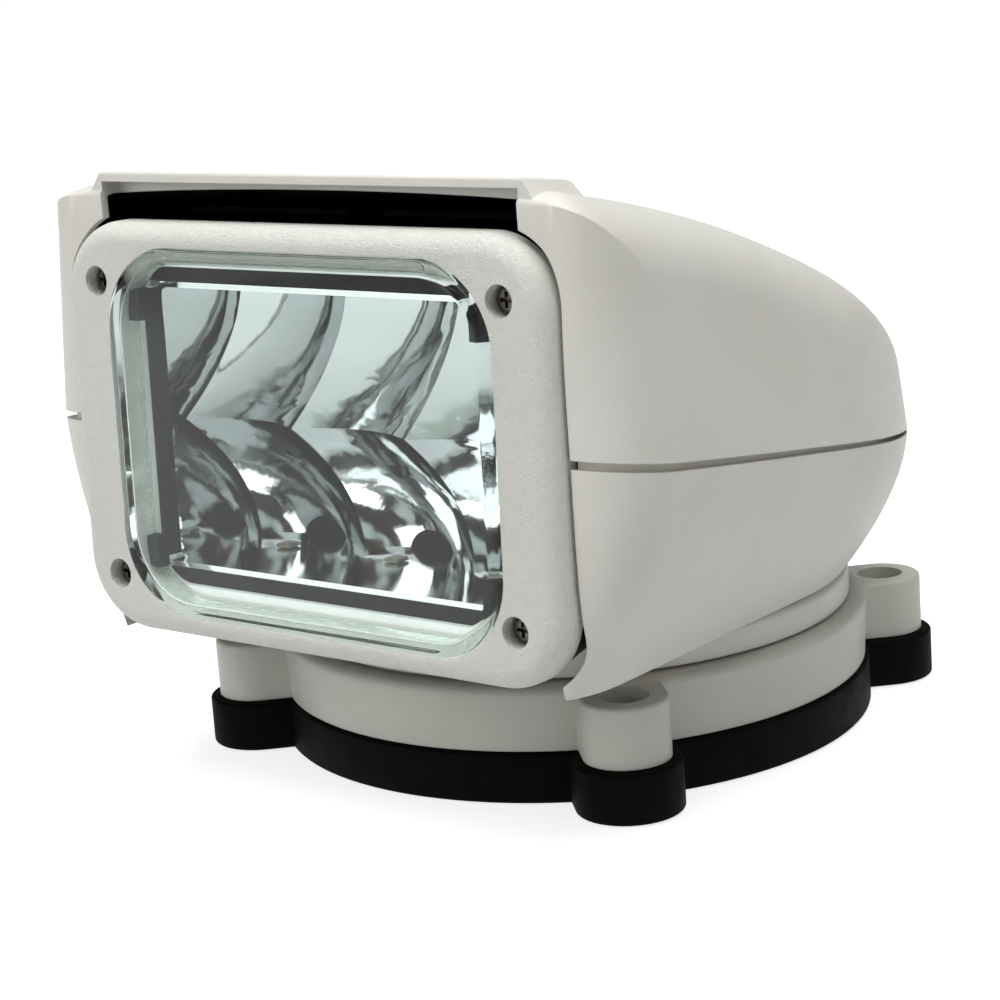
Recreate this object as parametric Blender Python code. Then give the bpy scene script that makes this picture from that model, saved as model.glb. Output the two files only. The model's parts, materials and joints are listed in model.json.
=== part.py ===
"""Marine searchlight with a remote pan and tilt drive.

A white two-part shell turns on a round plinth. The lamp tilts in the opening of
the shell, on two pins that are held at the split line. Metres, +Z up, with the
origin at the centre of the underside of the rubber base gasket. The lamp looks
along -Y, and +X is to the right of someone who looks into it.
"""

import bmesh
import bpy
import numpy as np
from math import acos, asin, atan, atan2, ceil, cos, hypot, pi, radians, sin, sqrt, tan
from mathutils import Matrix, Vector

# Fits
SEAT = 0.0003                  # between two pieces that touch
RUN = 0.0008                   # between two pieces that turn past each other

# Base
GASKET_THICKNESS = 0.0148
GASKET_RADIUS = 0.0915
GASKET_LOBE_RADIUS = 0.0155
GASKET_OPENING_RADIUS = 0.0620
BOSS_SPACING = 0.1394          # side of the square of the four base screws
BOSS_RADIUS = 0.0125
BOSS_HEIGHT = 0.0176
BOSS_HOLE_RADIUS = 0.0036
BOSS_SINK_RADIUS = 0.0070
BOSS_SINK_DEPTH = 0.0090
PLINTH_RADIUS = 0.0910
PLINTH_HEIGHT = 0.0192
PLINTH_WALL = 0.0035
PLINTH_ROUND = 0.0030
COVER_THICKNESS = 0.0025
COVER_RADIUS = 0.0860
COVER_SCREW_CIRCLE = 0.0500
CABLE_HOLE_RADIUS = 0.0110

# Pan bearing and drive
SPINDLE_RADIUS = 0.0140
SPINDLE_BORE_RADIUS = 0.0100
SPINDLE_FLANGE_RADIUS = 0.0215
HUB_RADIUS = 0.0220
HUB_HEIGHT = 0.0060
WASHER_THICKNESS = 0.0012
DIRT_SEAL_RADIUS = 0.0760
DIRT_SEAL_HEIGHT = 0.0060
GEAR_MODULE = 0.0015
PAN_GEAR_TEETH = 40
PINION_TEETH = 10
PAN_GEAR_WIDTH = 0.0048

# Turntable
TURNTABLE_RADIUS = 0.0860
TURNTABLE_SKIRT = 0.0087
TURNTABLE_WALL = 0.0035
TURNTABLE_CEILING = 0.0026
PLATFORM_RADIUS = 0.0745
PLATFORM_HEIGHT = 0.0040

# Head shell
SHELL_WALL = 0.0026
HEAD_FRONT_Y = -0.1123
HEAD_HALF_WIDTH = 0.1089
FACE_HALF_WIDTH = 0.0900
FACE_ROUND_DEPTH = 0.0190
FACE_LEAN = -0.009             # the face leans back by this share of its rise
CROWN_CENTRE_Y = -0.0045       # ahead of this the roof is a ridge, behind it a dome
REAR_LENGTH = 0.1031
ROOF_FRONT_Z = 0.1793
ROOF_CENTRE_Z = 0.1498
ROOF_FRONT_SLOPE = 0.166
NOSE_DROP = 0.0045             # the roof's front edge is rounded down by this much
NOSE_LENGTH = 0.0124
CROWN_DROP = 0.0043
REAR_DROP = 0.0563
REAR_SLOPE = 0.776
REAR_ROUND = 0.0200
SHOULDER_FRONT = 0.0235
SHOULDER_CENTRE = 0.0305
SIDE_DRAFT = radians(6.15)
SPLIT_FRONT_Z = 0.1094
SPLIT_REAR_Z = 0.0800
SPLIT_SAG = 0.0010
SPLIT_REVEAL_FRONT = 0.0023
SPLIT_REVEAL_REAR = 0.0009
TONGUE_HEIGHT = 0.0020
TONGUE_WALL = 0.0013
TONGUE_GAP = 0.0005
RIM_Z = 0.0450
RIM_REAR_RISE = 0.0022
RIM_HALF_WIDTH = 0.0865
RIM_REAR_Y = 0.0841
FLANK_BULGE = 1.71             # how strongly the flank swells out above the rim
FLOOR_THICKNESS = 0.0025
FLOOR_FRONT_Y = -0.0760
OPENING_GAP = 0.0018
OPENING_LOWER_ROUND = 0.0180
OPENING_FOOT_HALF = 0.0815
SLOT_HALF_WIDTH = 0.0752
SLOT_TOP_Z = 0.1768
BRIDGE_HALF_WIDTH = 0.0771
BRIDGE_TOP_Z = 0.1806
BRIDGE_SLOPE = 0.07
BRIDGE_DEPTH = 0.0220
BRIDGE_END_SLANT = 0.0022
POST_RADIUS = 0.0050
POST_PLACES = ((0.0800, -0.0280), (0.0555, 0.0555))

# Lamp
TILT_AXIS_Y = -0.1010
TILT_AXIS_Z = 0.1066
REST_TILT = radians(1.66)      # the lamp looks up a little in its rest position
TILT_UP = radians(30.0)        # from the rest position
TILT_DOWN = radians(25.0)
BEZEL_FRONT = 0.0171           # bezel face ahead of the tilt axis
BEZEL_HALF_WIDTH = 0.0876
BEZEL_HALF_HEIGHT = 0.0596
BEZEL_CORNER = 0.0260
BEZEL_DEPTH = 0.0100
BEZEL_ROUND = 0.0058
BEZEL_SCREW_X = 0.0730
BEZEL_SCREW_Z = 0.0428
BEZEL_SINK_RADIUS = 0.0043
BEZEL_SINK_DEPTH = 0.0060
GLASS_HALF_WIDTH = 0.0705
GLASS_HALF_HEIGHT = 0.0527
GLASS_CORNER = 0.0240
GLASS_WALL = 0.0032
GLASS_PROUD = 0.0025
GLASS_DEPTH = 0.0115
GLASS_ROUND = 0.0024
SEAL_THICKNESS = 0.0010
CELL_WIDTH = 0.0420
CELL_HEIGHT = 0.0400
CELL_FOCUS = 0.0140
CELL_COUNT = 3
CELL_FRONT = 0.0050            # the foremost cusps of the cells behind the reflector's frame
REFLECTOR_WALL = 0.0018
REFLECTOR_FRAME = 0.0016
REFLECTOR_MARGIN = 0.0066
PAD_WIDTH = 0.0030
PAD_HEIGHT = 0.0110
PAD_THICKNESS = 0.0020
PAD_Z = 0.0290
BOARD_THICKNESS = 0.0016
LED_SIZE = 0.0050
LED_HEIGHT = 0.0012
FLANGE_INSET = 0.0012
FLANGE_BACK = 0.0056
HOUSING_HALF_WIDTH = 0.0760
HOUSING_RADIUS = 0.0580
HOUSING_WALL = 0.0050
FIN_THICKNESS = 0.0026
FIN_COUNT = 9
TILT_PIN_RADIUS = 0.0036
TILT_PIN_LENGTH = 0.0066
BUSH_WALL = 0.0017
SADDLE_INNER_X = 0.0902
SADDLE_HALF_DEPTH = 0.0085
SADDLE_HEIGHT = 0.0130

# Tilt drive
SECTOR_TEETH = 87              # of a full wheel
SECTOR_WIDTH = 0.0064
TILT_PINION_ANGLE = radians(10.0)
MOTOR_OFFSET = 0.0060          # the output shaft lies off the gearbox's middle
TILT_MOTOR_RADIUS = 0.0135
TILT_GEARBOX_LENGTH = 0.0200
TILT_MOTOR_LENGTH = 0.0270
PAN_MOTOR_RADIUS = 0.0180
PAN_GEARBOX_LENGTH = 0.0230
PAN_MOTOR_LENGTH = 0.0280
BRACKET_THICKNESS = 0.0020
BRACKET_HALF_WIDTH = 0.0300
LINER_RADIUS = 0.0618
LINER_THICKNESS = 0.0015
LINER_HALF_WIDTH = 0.0850
LINER_SLOT_HALF = 0.0070
LINER_SLOT_MARGIN = radians(3.0)
LINER_TOP = radians(72.0)
LINER_FOOT = radians(-60.0)
BOARD_HALF_X = 0.0260
BOARD_HALF_Y = 0.0080
BOARD_Y = 0.0712

# Facets
ROUND_SEGMENTS = 40
BEARING_SEGMENTS = 24
BOSS_SEGMENTS = 20
SMALL_SEGMENTS = 12
SCREW_SEGMENTS = 8
CORNER_STATIONS = 4
SIDE_STATIONS = 6
REAR_STATIONS = 7

# Heights that follow
PLINTH_FOOT_Z = GASKET_THICKNESS + SEAT
PLINTH_TOP_Z = PLINTH_FOOT_Z + PLINTH_HEIGHT
HUB_TOP_Z = PLINTH_TOP_Z + HUB_HEIGHT
WASHER_TOP_Z = HUB_TOP_Z + SEAT + WASHER_THICKNESS
TURNTABLE_BOSS_Z = WASHER_TOP_Z + SEAT
TURNTABLE_FOOT_Z = PLINTH_TOP_Z + RUN
TURNTABLE_SHOULDER_Z = TURNTABLE_FOOT_Z + TURNTABLE_SKIRT
PLATFORM_Z = TURNTABLE_SHOULDER_Z + PLATFORM_HEIGHT
FLOOR_Z = PLATFORM_Z + SEAT
FLOOR_TOP_Z = FLOOR_Z + FLOOR_THICKNESS
HEAD_REAR_Y = CROWN_CENTRE_Y + REAR_LENGTH
BOSS_PLACES = [(sx * BOSS_SPACING / 2, sy * BOSS_SPACING / 2) for sx, sy in ((-1, -1), (1, -1), (1, 1), (-1, 1))]
PAN_GEAR_RADIUS = GEAR_MODULE * PAN_GEAR_TEETH / 2
PINION_RADIUS = GEAR_MODULE * PINION_TEETH / 2
SECTOR_RADIUS = GEAR_MODULE * SECTOR_TEETH / 2
GEAR_SLACK = 0.00015
SECTOR_TOOTH = 2 * pi / SECTOR_TEETH
SECTOR_BELOW = ceil(TILT_DOWN / SECTOR_TOOTH)
SECTOR_ABOVE = ceil(TILT_UP / SECTOR_TOOTH)
PAN_PINION_Y = PAN_GEAR_RADIUS + PINION_RADIUS + GEAR_SLACK
TILT_DRIVE_RADIUS = SECTOR_RADIUS + PINION_RADIUS + GEAR_SLACK
TILT_PINION_Y = TILT_AXIS_Y + TILT_DRIVE_RADIUS * cos(TILT_PINION_ANGLE)
TILT_PINION_Z = TILT_AXIS_Z + TILT_DRIVE_RADIUS * sin(TILT_PINION_ANGLE)

# Places along the lamp, measured from the tilt axis, forward is negative
BEZEL_FACE = -BEZEL_FRONT
BEZEL_BACK = BEZEL_FACE + BEZEL_DEPTH
FLANGE_FRONT = BEZEL_BACK + SEAT
FRAME_BACK = FLANGE_FRONT + REFLECTOR_FRAME + SEAT
FRAME_FRONT = FRAME_BACK - REFLECTOR_FRAME
SEAL_FRONT = FRAME_FRONT - SEAT - SEAL_THICKNESS
GLASS_BACK = SEAL_FRONT - SEAT
GLASS_FACE = BEZEL_FACE - GLASS_PROUD
CELL_DEPTH = ((CELL_WIDTH / 2) ** 2 + CELL_HEIGHT ** 2) / (4 * CELL_FOCUS)
CELL_VERTEX = FRAME_BACK + CELL_FRONT + CELL_DEPTH
CELL_SPAN = CELL_COUNT * CELL_WIDTH / 2
BOARD_Z = CELL_HEIGHT + SEAT
HOUSING_CAVITY_Z = BOARD_Z + BOARD_THICKNESS + SEAT
HOUSING_CAVITY_X = CELL_SPAN + REFLECTOR_WALL + 2 * SEAT
HOUSING_CAVITY_BACK = CELL_VERTEX + REFLECTOR_WALL + SEAT
HOUSING_BACK = HOUSING_CAVITY_BACK + HOUSING_WALL
HOUSING_HALF_HEIGHT = HOUSING_CAVITY_Z + HOUSING_WALL

WHITE = (0.72, 0.71, 0.67, 1.0)
BLACK = (0.012, 0.012, 0.013, 1.0)


def material(name, colour, roughness, metallic=0.0, transmission=0.0):
    """A plain surface in the part's own colour."""
    found = bpy.data.materials.get(name)
    if found:
        return found
    made = bpy.data.materials.new(name)
    made.use_nodes = True
    shader = made.node_tree.nodes["Principled BSDF"]
    shader.inputs["Base Color"].default_value = colour
    shader.inputs["Roughness"].default_value = roughness
    shader.inputs["Metallic"].default_value = metallic
    shader.inputs["Transmission Weight"].default_value = transmission
    return made


def add(name, bm, surface=None, sharp=35.0):
    """An object from a bmesh, with its faces turned outward and shaded smooth up to an angle."""
    bmesh.ops.remove_doubles(bm, verts=bm.verts, dist=1e-7)
    bmesh.ops.recalc_face_normals(bm, faces=bm.faces)
    mesh = bpy.data.meshes.new(name)
    bm.to_mesh(mesh)
    bm.free()
    mesh.shade_smooth()
    mesh.set_sharp_from_angle(angle=radians(sharp))
    made = bpy.data.objects.new(name, mesh)
    bpy.context.scene.collection.objects.link(made)
    if surface:
        mesh.materials.append(surface)
    return made


def combine(target, tool, operation):
    """Cuts, joins or trims the target with a tool that is used up."""
    step = target.modifiers.new(operation.lower(), "BOOLEAN")
    step.operation = operation
    step.solver = "EXACT"
    step.object = tool
    bpy.context.view_layer.update()
    graph = bpy.context.evaluated_depsgraph_get()
    mesh = bpy.data.meshes.new_from_object(target.evaluated_get(graph))
    target.modifiers.remove(step)
    old = target.data
    target.data = mesh
    bpy.data.meshes.remove(old)
    bpy.data.objects.remove(tool)
    mesh.set_sharp_from_angle(angle=radians(35.0))
    return target


def cut(target, *tools):
    """Takes each tool away from the target."""
    for tool in tools:
        combine(target, tool, "DIFFERENCE")
    return target


def join(target, *tools):
    """Joins each tool to the target as one body."""
    for tool in tools:
        combine(target, tool, "UNION")
    return target


def arc(centre, radius, start, end, count):
    """Points along an arc, in radians, both ends included."""
    return [(centre[0] + radius * cos(a), centre[1] + radius * sin(a)) for a in np.linspace(start, end, count)]


def rounded_rectangle(half_width, half_height, corner, count=7):
    """Outline of a rectangle with round corners, from its lower right corner on."""
    places = ((1, -1, -pi / 2), (1, 1, 0.0), (-1, 1, pi / 2), (-1, -1, pi))
    points = []
    for sx, sy, start in places:
        centre = (sx * (half_width - corner), sy * (half_height - corner))
        points += arc(centre, corner, start, start + pi / 2, count)
    return points


def prism(outline, low, high, axis="Z", rounding=0.0, steps=3, round_low=False, round_high=True):
    """A plate or block with the given outline, extruded along an axis, its edges rounded."""
    bm = bmesh.new()
    lift = {"Z": lambda u, v, w: (u, v, w), "Y": lambda u, v, w: (u, w, v), "X": lambda u, v, w: (w, u, v)}[axis]
    bottom = bm.faces.new([bm.verts.new(lift(u, v, low)) for u, v in outline])
    grown = bmesh.ops.extrude_face_region(bm, geom=[bottom])["geom"]
    top = [item for item in grown if isinstance(item, bmesh.types.BMVert)]
    shift = Vector(lift(0.0, 0.0, high)) - Vector(lift(0.0, 0.0, low))
    bmesh.ops.translate(bm, verts=top, vec=shift)
    bmesh.ops.recalc_face_normals(bm, faces=bm.faces)
    if rounding:
        index = {"X": 0, "Y": 1, "Z": 2}[axis]
        levels = [level for level, wanted in ((low, round_low), (high, round_high)) if wanted]
        edges = []
        for edge in bm.edges:
            ends = [vert.co[index] for vert in edge.verts]
            if any(abs(ends[0] - level) < 1e-7 and abs(ends[1] - level) < 1e-7 for level in levels):
                edges.append(edge)
        bmesh.ops.bevel(bm, geom=edges, offset=rounding, segments=steps, profile=0.5, affect="EDGES")
    return bm


def block(low, high):
    """A box between two corners."""
    outline = [(low[0], low[1]), (high[0], low[1]), (high[0], high[1]), (low[0], high[1])]
    return prism(outline, low[2], high[2])


def rod(centre, radius, low, high, axis="Z", segments=SMALL_SEGMENTS):
    """A round bar along an axis, its middle at a point of the plane across it."""
    turn = np.linspace(0.0, 2 * pi, segments, endpoint=False)
    return prism([(centre[0] + radius * cos(a), centre[1] + radius * sin(a)) for a in turn], low, high, axis)


def turned(profile, centre=(0.0, 0.0), segments=ROUND_SEGMENTS):
    """A turned piece about a vertical line: a closed profile of radius and height, spun."""
    bm = bmesh.new()
    verts = [bm.verts.new((radius, 0.0, height)) for radius, height in profile]
    pairs = [(one, two) for one, two in zip(verts, verts[1:] + verts[:1]) if one.co.x > 0 or two.co.x > 0]
    edges = [bm.edges.new(pair) for pair in pairs]
    bmesh.ops.spin(bm, geom=verts + edges, cent=(0, 0, 0), axis=(0, 0, 1), angle=2 * pi, steps=segments,
                   use_merge=True)
    bmesh.ops.remove_doubles(bm, verts=bm.verts, dist=1e-7)
    bmesh.ops.translate(bm, verts=bm.verts, vec=(centre[0], centre[1], 0.0))
    return bm


def gear_outline(teeth, phase, first=0, count=None, inner=None):
    """Involute spur teeth about the origin: a full wheel, or a sector of some teeth with a band.

    The tooth of index 0 is centred on the phase angle.
    """
    pitch = GEAR_MODULE * teeth / 2
    base = pitch * cos(radians(20.0))
    tip = pitch + 0.85 * GEAR_MODULE
    root = pitch - 1.2 * GEAR_MODULE
    half = (pi / 2 - 0.20) / teeth

    def flank(radius):
        slope = sqrt(max((radius / base) ** 2 - 1.0, 0.0))
        rolled = tan(radians(20.0)) - radians(20.0)
        return half + rolled - (slope - atan2(slope, 1.0))

    start = max(base, root)
    levels = np.linspace(start, tip, 3)[0 if start > root else 1:]
    points = []
    for index in range(count or teeth):
        middle = phase + 2 * pi * (first + index) / teeth
        side = [(root, flank(start) + 0.02 / teeth)] + [(level, flank(level)) for level in levels]
        for radius, offset in side:
            points.append((radius * cos(middle - offset), radius * sin(middle - offset)))
        for radius, offset in reversed(side):
            points.append((radius * cos(middle + offset), radius * sin(middle + offset)))
    if inner:
        ends = [atan2(points[-1][1], points[-1][0]), atan2(points[0][1], points[0][0])]
        points += arc((0.0, 0.0), inner, ends[0], ends[1], 14)
    return points


def lobed_outline(radius, lobe):
    """A disc with four round lobes on straight webs, at the base screws."""
    reach = BOSS_SPACING / sqrt(2)
    half = asin(lobe / radius)
    points = []
    for quarter in range(4):
        middle = pi / 4 + quarter * pi / 2
        points += arc((0.0, 0.0), radius, middle - pi / 2 + half, middle - half, 8)
        centre = (reach * cos(middle), reach * sin(middle))
        points += arc(centre, lobe, middle - pi / 2, middle + pi / 2, 9)
    return points


def web_outline(place, radius):
    """A boss with its straight web, out of the plinth's wall."""
    angle = atan2(place[1], place[0])
    root = PLINTH_RADIUS - PLINTH_WALL * 0.85
    inner = root * cos(angle), root * sin(angle)
    outer = arc(place, radius, angle - pi / 2, angle + pi / 2, 9)
    side = radius * cos(angle + pi / 2), radius * sin(angle + pi / 2)
    return outer + [(inner[0] + side[0], inner[1] + side[1]), (inner[0] - side[0], inner[1] - side[1])]


def split_z(y):
    """Height of the split line: falls to the rear, with a slight sag."""
    share = (y - HEAD_FRONT_Y) / (HEAD_REAR_Y - HEAD_FRONT_Y)
    return SPLIT_FRONT_Z + (SPLIT_REAR_Z - SPLIT_FRONT_Z) * share - 4 * SPLIT_SAG * share * (1 - share)


def split_reveal(y):
    """Height of the open groove below the split line."""
    share = (y - HEAD_FRONT_Y) / (HEAD_REAR_Y - HEAD_FRONT_Y)
    return SPLIT_REVEAL_FRONT + (SPLIT_REVEAL_REAR - SPLIT_REVEAL_FRONT) * share


def roof_z(y):
    """Height of the roof's ridge, from its rounded front edge to the dome's centre."""
    run = CROWN_CENTRE_Y - HEAD_FRONT_Y
    bend = (ROOF_FRONT_Z - ROOF_CENTRE_Z - ROOF_FRONT_SLOPE * run) / run ** 2
    ahead = max(0.0, 1 - max(y - HEAD_FRONT_Y, 0.0) / NOSE_LENGTH)
    nose = NOSE_DROP * (1 - sqrt(1 - ahead * ahead))
    return ROOF_FRONT_Z - nose - ROOF_FRONT_SLOPE * (y - HEAD_FRONT_Y) - bend * (y - HEAD_FRONT_Y) ** 2


def roof_slope(y):
    """Fall of the roof's ridge at a station."""
    run = CROWN_CENTRE_Y - HEAD_FRONT_Y
    bend = (ROOF_FRONT_Z - ROOF_CENTRE_Z - ROOF_FRONT_SLOPE * run) / run ** 2
    return ROOF_FRONT_SLOPE + 2 * bend * (y - HEAD_FRONT_Y)


def half_width(y, inset):
    """Half width of the head at the split line: a rounded corner at the face, then straight."""
    full = HEAD_HALF_WIDTH - inset
    corner_end = HEAD_FRONT_Y + FACE_ROUND_DEPTH
    if y >= corner_end:
        return full
    share = (corner_end - y) / (FACE_ROUND_DEPTH - inset)
    return FACE_HALF_WIDTH + (full - FACE_HALF_WIDTH) * sqrt(max(0.0, 1 - share * share))


def stations(inset):
    """Places along the side, from the face to the dome's centre."""
    front = HEAD_FRONT_Y + inset
    corner_end = HEAD_FRONT_Y + FACE_ROUND_DEPTH
    turns = np.linspace(0, pi / 2, CORNER_STATIONS + 1)[:-1]
    near = [corner_end - (corner_end - front) * cos(a) for a in turns]
    return near + list(np.linspace(corner_end, CROWN_CENTRE_Y, SIDE_STATIONS + 1))


def section(width, clip, top, drop, outer_slope, inner_slope, shoulder, low, inset, steps=(1, 6, 4)):
    """Half section of the roof: drafted side, round shoulder, and a curve in to the middle.

    Near the face the side stands further in, at the clip, and cuts the shoulder short.
    Inside the wall, the side stays straight as high as the tongue reaches.
    """
    lean = tan(SIDE_DRAFT)
    corner = Vector((width - lean * (top - drop - low), top - drop))
    up = Vector((-lean, 1.0)).normalized()
    inward = Vector((-1.0, outer_slope)).normalized()
    angle = (-up).angle(inward)
    straight = TONGUE_HEIGHT + TONGUE_GAP if inset else 0.0
    reach = min(shoulder / tan(angle / 2), (corner.y - low - straight) / up.y)
    shoulder = reach * tan(angle / 2)
    first, last = corner - up * reach, corner + inward * reach
    centre = first + Vector((-up.y, up.x)) * shoulder
    reach_out = (clip + lean * low - centre.x - lean * centre.y) / (shoulder * sqrt(1 + lean * lean))
    begin = atan(lean) + acos(min(1.0, reach_out))
    end = atan2(last.y - centre.y, last.x - centre.x)
    first = centre + Vector((cos(begin), sin(begin))) * float(shoulder)
    foot = Vector((clip, low))
    points = [tuple(foot.lerp(first, u)) for u in np.linspace(0, 1, steps[0], endpoint=False)]
    points += arc(centre, shoulder, begin, end, steps[1])
    middle = Vector((0.0, top))
    third = last.x / 3
    outer_handle = last + Vector((-third, outer_slope * third))
    inner_handle = middle + Vector((third, -inner_slope * third))
    for u in np.linspace(0, 1, steps[2] + 1)[1:]:
        v = 1 - u
        points.append(tuple(last * v ** 3 + outer_handle * 3 * v * v * u + inner_handle * 3 * v * u * u
                            + middle * u ** 3))
    return points


def upper_column(y, inset):
    """Points of one side station, from the split line up to the ridge."""
    share = (y - HEAD_FRONT_Y) / (CROWN_CENTRE_Y - HEAD_FRONT_Y)
    corner_end = HEAD_FRONT_Y + FACE_ROUND_DEPTH
    growth = max(0.0, (y - corner_end) / (CROWN_CENTRE_Y - corner_end)) ** 2
    shoulder = SHOULDER_FRONT + (SHOULDER_CENTRE - SHOULDER_FRONT) * growth - inset
    drop = CROWN_DROP * (0.7 + 0.3 * share)
    width = HEAD_HALF_WIDTH - inset
    top = roof_z(y) - inset
    low = split_z(y)
    lean = FACE_LEAN * (1 - share)
    points = section(width, half_width(y, inset), top, drop, 2 * drop / width, 0.0, shoulder, low, inset)
    return [(x, y + lean * (z - low), z) for x, z in points]


def dome_column(angle, inset):
    """Points of one radial section of the dome at the rear, from the split line up to its top."""
    width = HEAD_HALF_WIDTH - inset
    length = REAR_LENGTH - inset
    across, back = width * cos(angle), length * sin(angle)
    radius = hypot(across, back)
    share = sin(angle)
    drop = CROWN_DROP * (1 - share) + REAR_DROP * share
    slope = 2 * CROWN_DROP / width * (1 - share) + REAR_SLOPE * share
    shoulder = SHOULDER_CENTRE * (1 - share) + REAR_ROUND * share - inset
    fall = roof_slope(CROWN_CENTRE_Y) * sin(angle)
    low = split_z(CROWN_CENTRE_Y + back)
    points = section(radius, radius, ROOF_CENTRE_Z - inset, drop, slope, fall, shoulder, low, inset)
    return [(r * across / radius, CROWN_CENTRE_Y + r * back / radius, z) for r, z in points]


def outline_points(inset):
    """Plan of the head at the split line, right side from the face to the rear and back on the left.

    Each entry keeps the plan point and the matching point of the lower rim.
    """
    entries = []
    for y in stations(inset):
        width = half_width(y, inset)
        share = (y - HEAD_FRONT_Y - inset) / (CROWN_CENTRE_Y - HEAD_FRONT_Y - inset)
        rim_x = RIM_HALF_WIDTH - (HEAD_HALF_WIDTH - width)
        rim_y = (HEAD_FRONT_Y + inset) * (1 - share)
        entries.append(((width, y), (rim_x, rim_y)))
    for angle in np.linspace(0, pi / 2, REAR_STATIONS + 1)[1:]:
        plan = (HEAD_HALF_WIDTH - inset) * cos(angle), CROWN_CENTRE_Y + (REAR_LENGTH - inset) * sin(angle)
        rim = (RIM_HALF_WIDTH - inset) * cos(angle), (RIM_REAR_Y - inset) * sin(angle)
        entries.append((plan, rim))
    left = [((-plan[0], plan[1]), (-rim[0], rim[1])) for plan, rim in reversed(entries[:-1])]
    return entries + left


def rim_z(y):
    """Height of the shell's lower rim: level along the sides, a little higher at the rear."""
    return RIM_Z + RIM_REAR_RISE * (max(y, 0.0) / RIM_REAR_Y) ** 2


def lower_loop(inset, level):
    """One closed loop of the lower shell, given as a height above the rim or as a share of the wall."""
    points = []
    for plan, rim in outline_points(inset):
        foot = rim_z(rim[1])
        top = split_z(plan[1])
        z = level(foot, top, plan[1])
        t = (z - foot) / (top - foot)
        bulge = 1 - (1 - min(t, 1.0)) ** FLANK_BULGE if t > 0 else FLANK_BULGE * t
        points.append((rim[0] + (plan[0] - rim[0]) * bulge, rim[1] + (plan[1] - rim[1]) * bulge, z))
    return points


def loft(loops):
    """A closed body through equal closed loops, its first and last loops filled."""
    bm = bmesh.new()
    rings = [[bm.verts.new(point) for point in loop] for loop in loops]
    count = len(rings[0])
    for low, high in zip(rings, rings[1:]):
        for i in range(count):
            j = (i + 1) % count
            bm.faces.new((low[i], low[j], high[j], high[i]))
    bm.faces.new(list(reversed(rings[0])))
    bm.faces.new(rings[-1])
    return bm


def roof_skin(bm, inset):
    """Adds one skin of the roof with its flat face, and returns its loop at the split line."""
    right = [[bm.verts.new(point) for point in upper_column(y, inset)] for y in stations(inset)]
    left = []
    for column in right:
        mirrored = [bm.verts.new((-vert.co.x, vert.co.y, vert.co.z)) for vert in column[:-1]]
        left.append(mirrored + [column[-1]])
    top = right[-1][-1]
    dome = []
    for angle in np.linspace(0, pi, 2 * REAR_STATIONS + 1)[1:-1]:
        points = dome_column(angle if angle <= pi / 2 else pi - angle, inset)
        sign = 1 if angle <= pi / 2 else -1
        dome.append([bm.verts.new((sign * x, y, z)) for x, y, z in points[:-1]] + [top])
    columns = right + dome + list(reversed(left))
    for one, two in zip(columns, columns[1:]):
        for k in range(len(one) - 1):
            corners = [one[k], two[k], two[k + 1], one[k + 1]]
            kept = []
            for vert in corners:
                if vert not in kept:
                    kept.append(vert)
            bm.faces.new(kept)
    face = right[0] + list(reversed(left[0][:-1]))
    bm.faces.new(face)
    return [column[0] for column in columns]


def roof_shell():
    """The roof as an upturned cup of even wall, joined along the split line."""
    bm = bmesh.new()
    outer = roof_skin(bm, 0.0)
    inner = roof_skin(bm, SHELL_WALL)
    count = len(outer)
    for i in range(count):
        j = (i + 1) % count
        bm.faces.new((outer[i], outer[j], inner[j], inner[i]))
    return bm


def head_core(inset):
    """The whole head as one solid, inset from its skin: trims what stands inside the shells."""
    bm = bmesh.new()
    split = roof_skin(bm, inset)
    rims = [bm.verts.new(point) for point in lower_loop(inset, lambda foot, top, y: foot)]
    half = [bm.verts.new(point) for point in lower_loop(inset, lambda foot, top, y: (foot + top) / 2)]
    count = len(split)
    for low, high in ((rims, half), (half, split)):
        for i in range(count):
            j = (i + 1) % count
            bm.faces.new((low[i], low[j], high[j], high[i]))
    bm.faces.new(rims)
    return bm


def opening_cutter(name, depth):
    """The lamp's opening: follows the bezel, with a slot above it and an open foot below."""
    width = BEZEL_HALF_WIDTH + OPENING_GAP
    height = BEZEL_HALF_HEIGHT + OPENING_GAP
    upper = BEZEL_CORNER + OPENING_GAP
    slot = asin((SLOT_HALF_WIDTH - width + upper) / upper)
    right = [(OPENING_FOOT_HALF, RIM_Z - 0.02)]
    centre = (width - OPENING_LOWER_ROUND, TILT_AXIS_Z - height + OPENING_LOWER_ROUND)
    foot = -pi / 2 + asin((OPENING_FOOT_HALF - centre[0]) / OPENING_LOWER_ROUND)
    right += arc(centre, OPENING_LOWER_ROUND, foot, 0.0, 7)
    right += arc((width - upper, TILT_AXIS_Z + height - upper), upper, 0.0, pi / 2 - slot, 8)
    right += [(SLOT_HALF_WIDTH, SLOT_TOP_Z)]
    left = [(-x, z) for x, z in reversed(right)]
    return add(name, prism(right + left, HEAD_FRONT_Y - 0.02, depth, "Y"))


def base_gasket():
    """The rubber pad under the plinth, open in the middle, with holes for the base screws."""
    rubber = material("black_rubber", BLACK, 0.85)
    pad = add("base_gasket", prism(lobed_outline(GASKET_RADIUS, GASKET_LOBE_RADIUS), 0.0, GASKET_THICKNESS), rubber)
    cut(pad, add("middle", rod((0, 0), GASKET_OPENING_RADIUS, -0.01, 0.05, segments=48)))
    for place in BOSS_PLACES:
        cut(pad, add("hole", rod(place, BOSS_HOLE_RADIUS, -0.01, 0.05)))
    return pad


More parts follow.
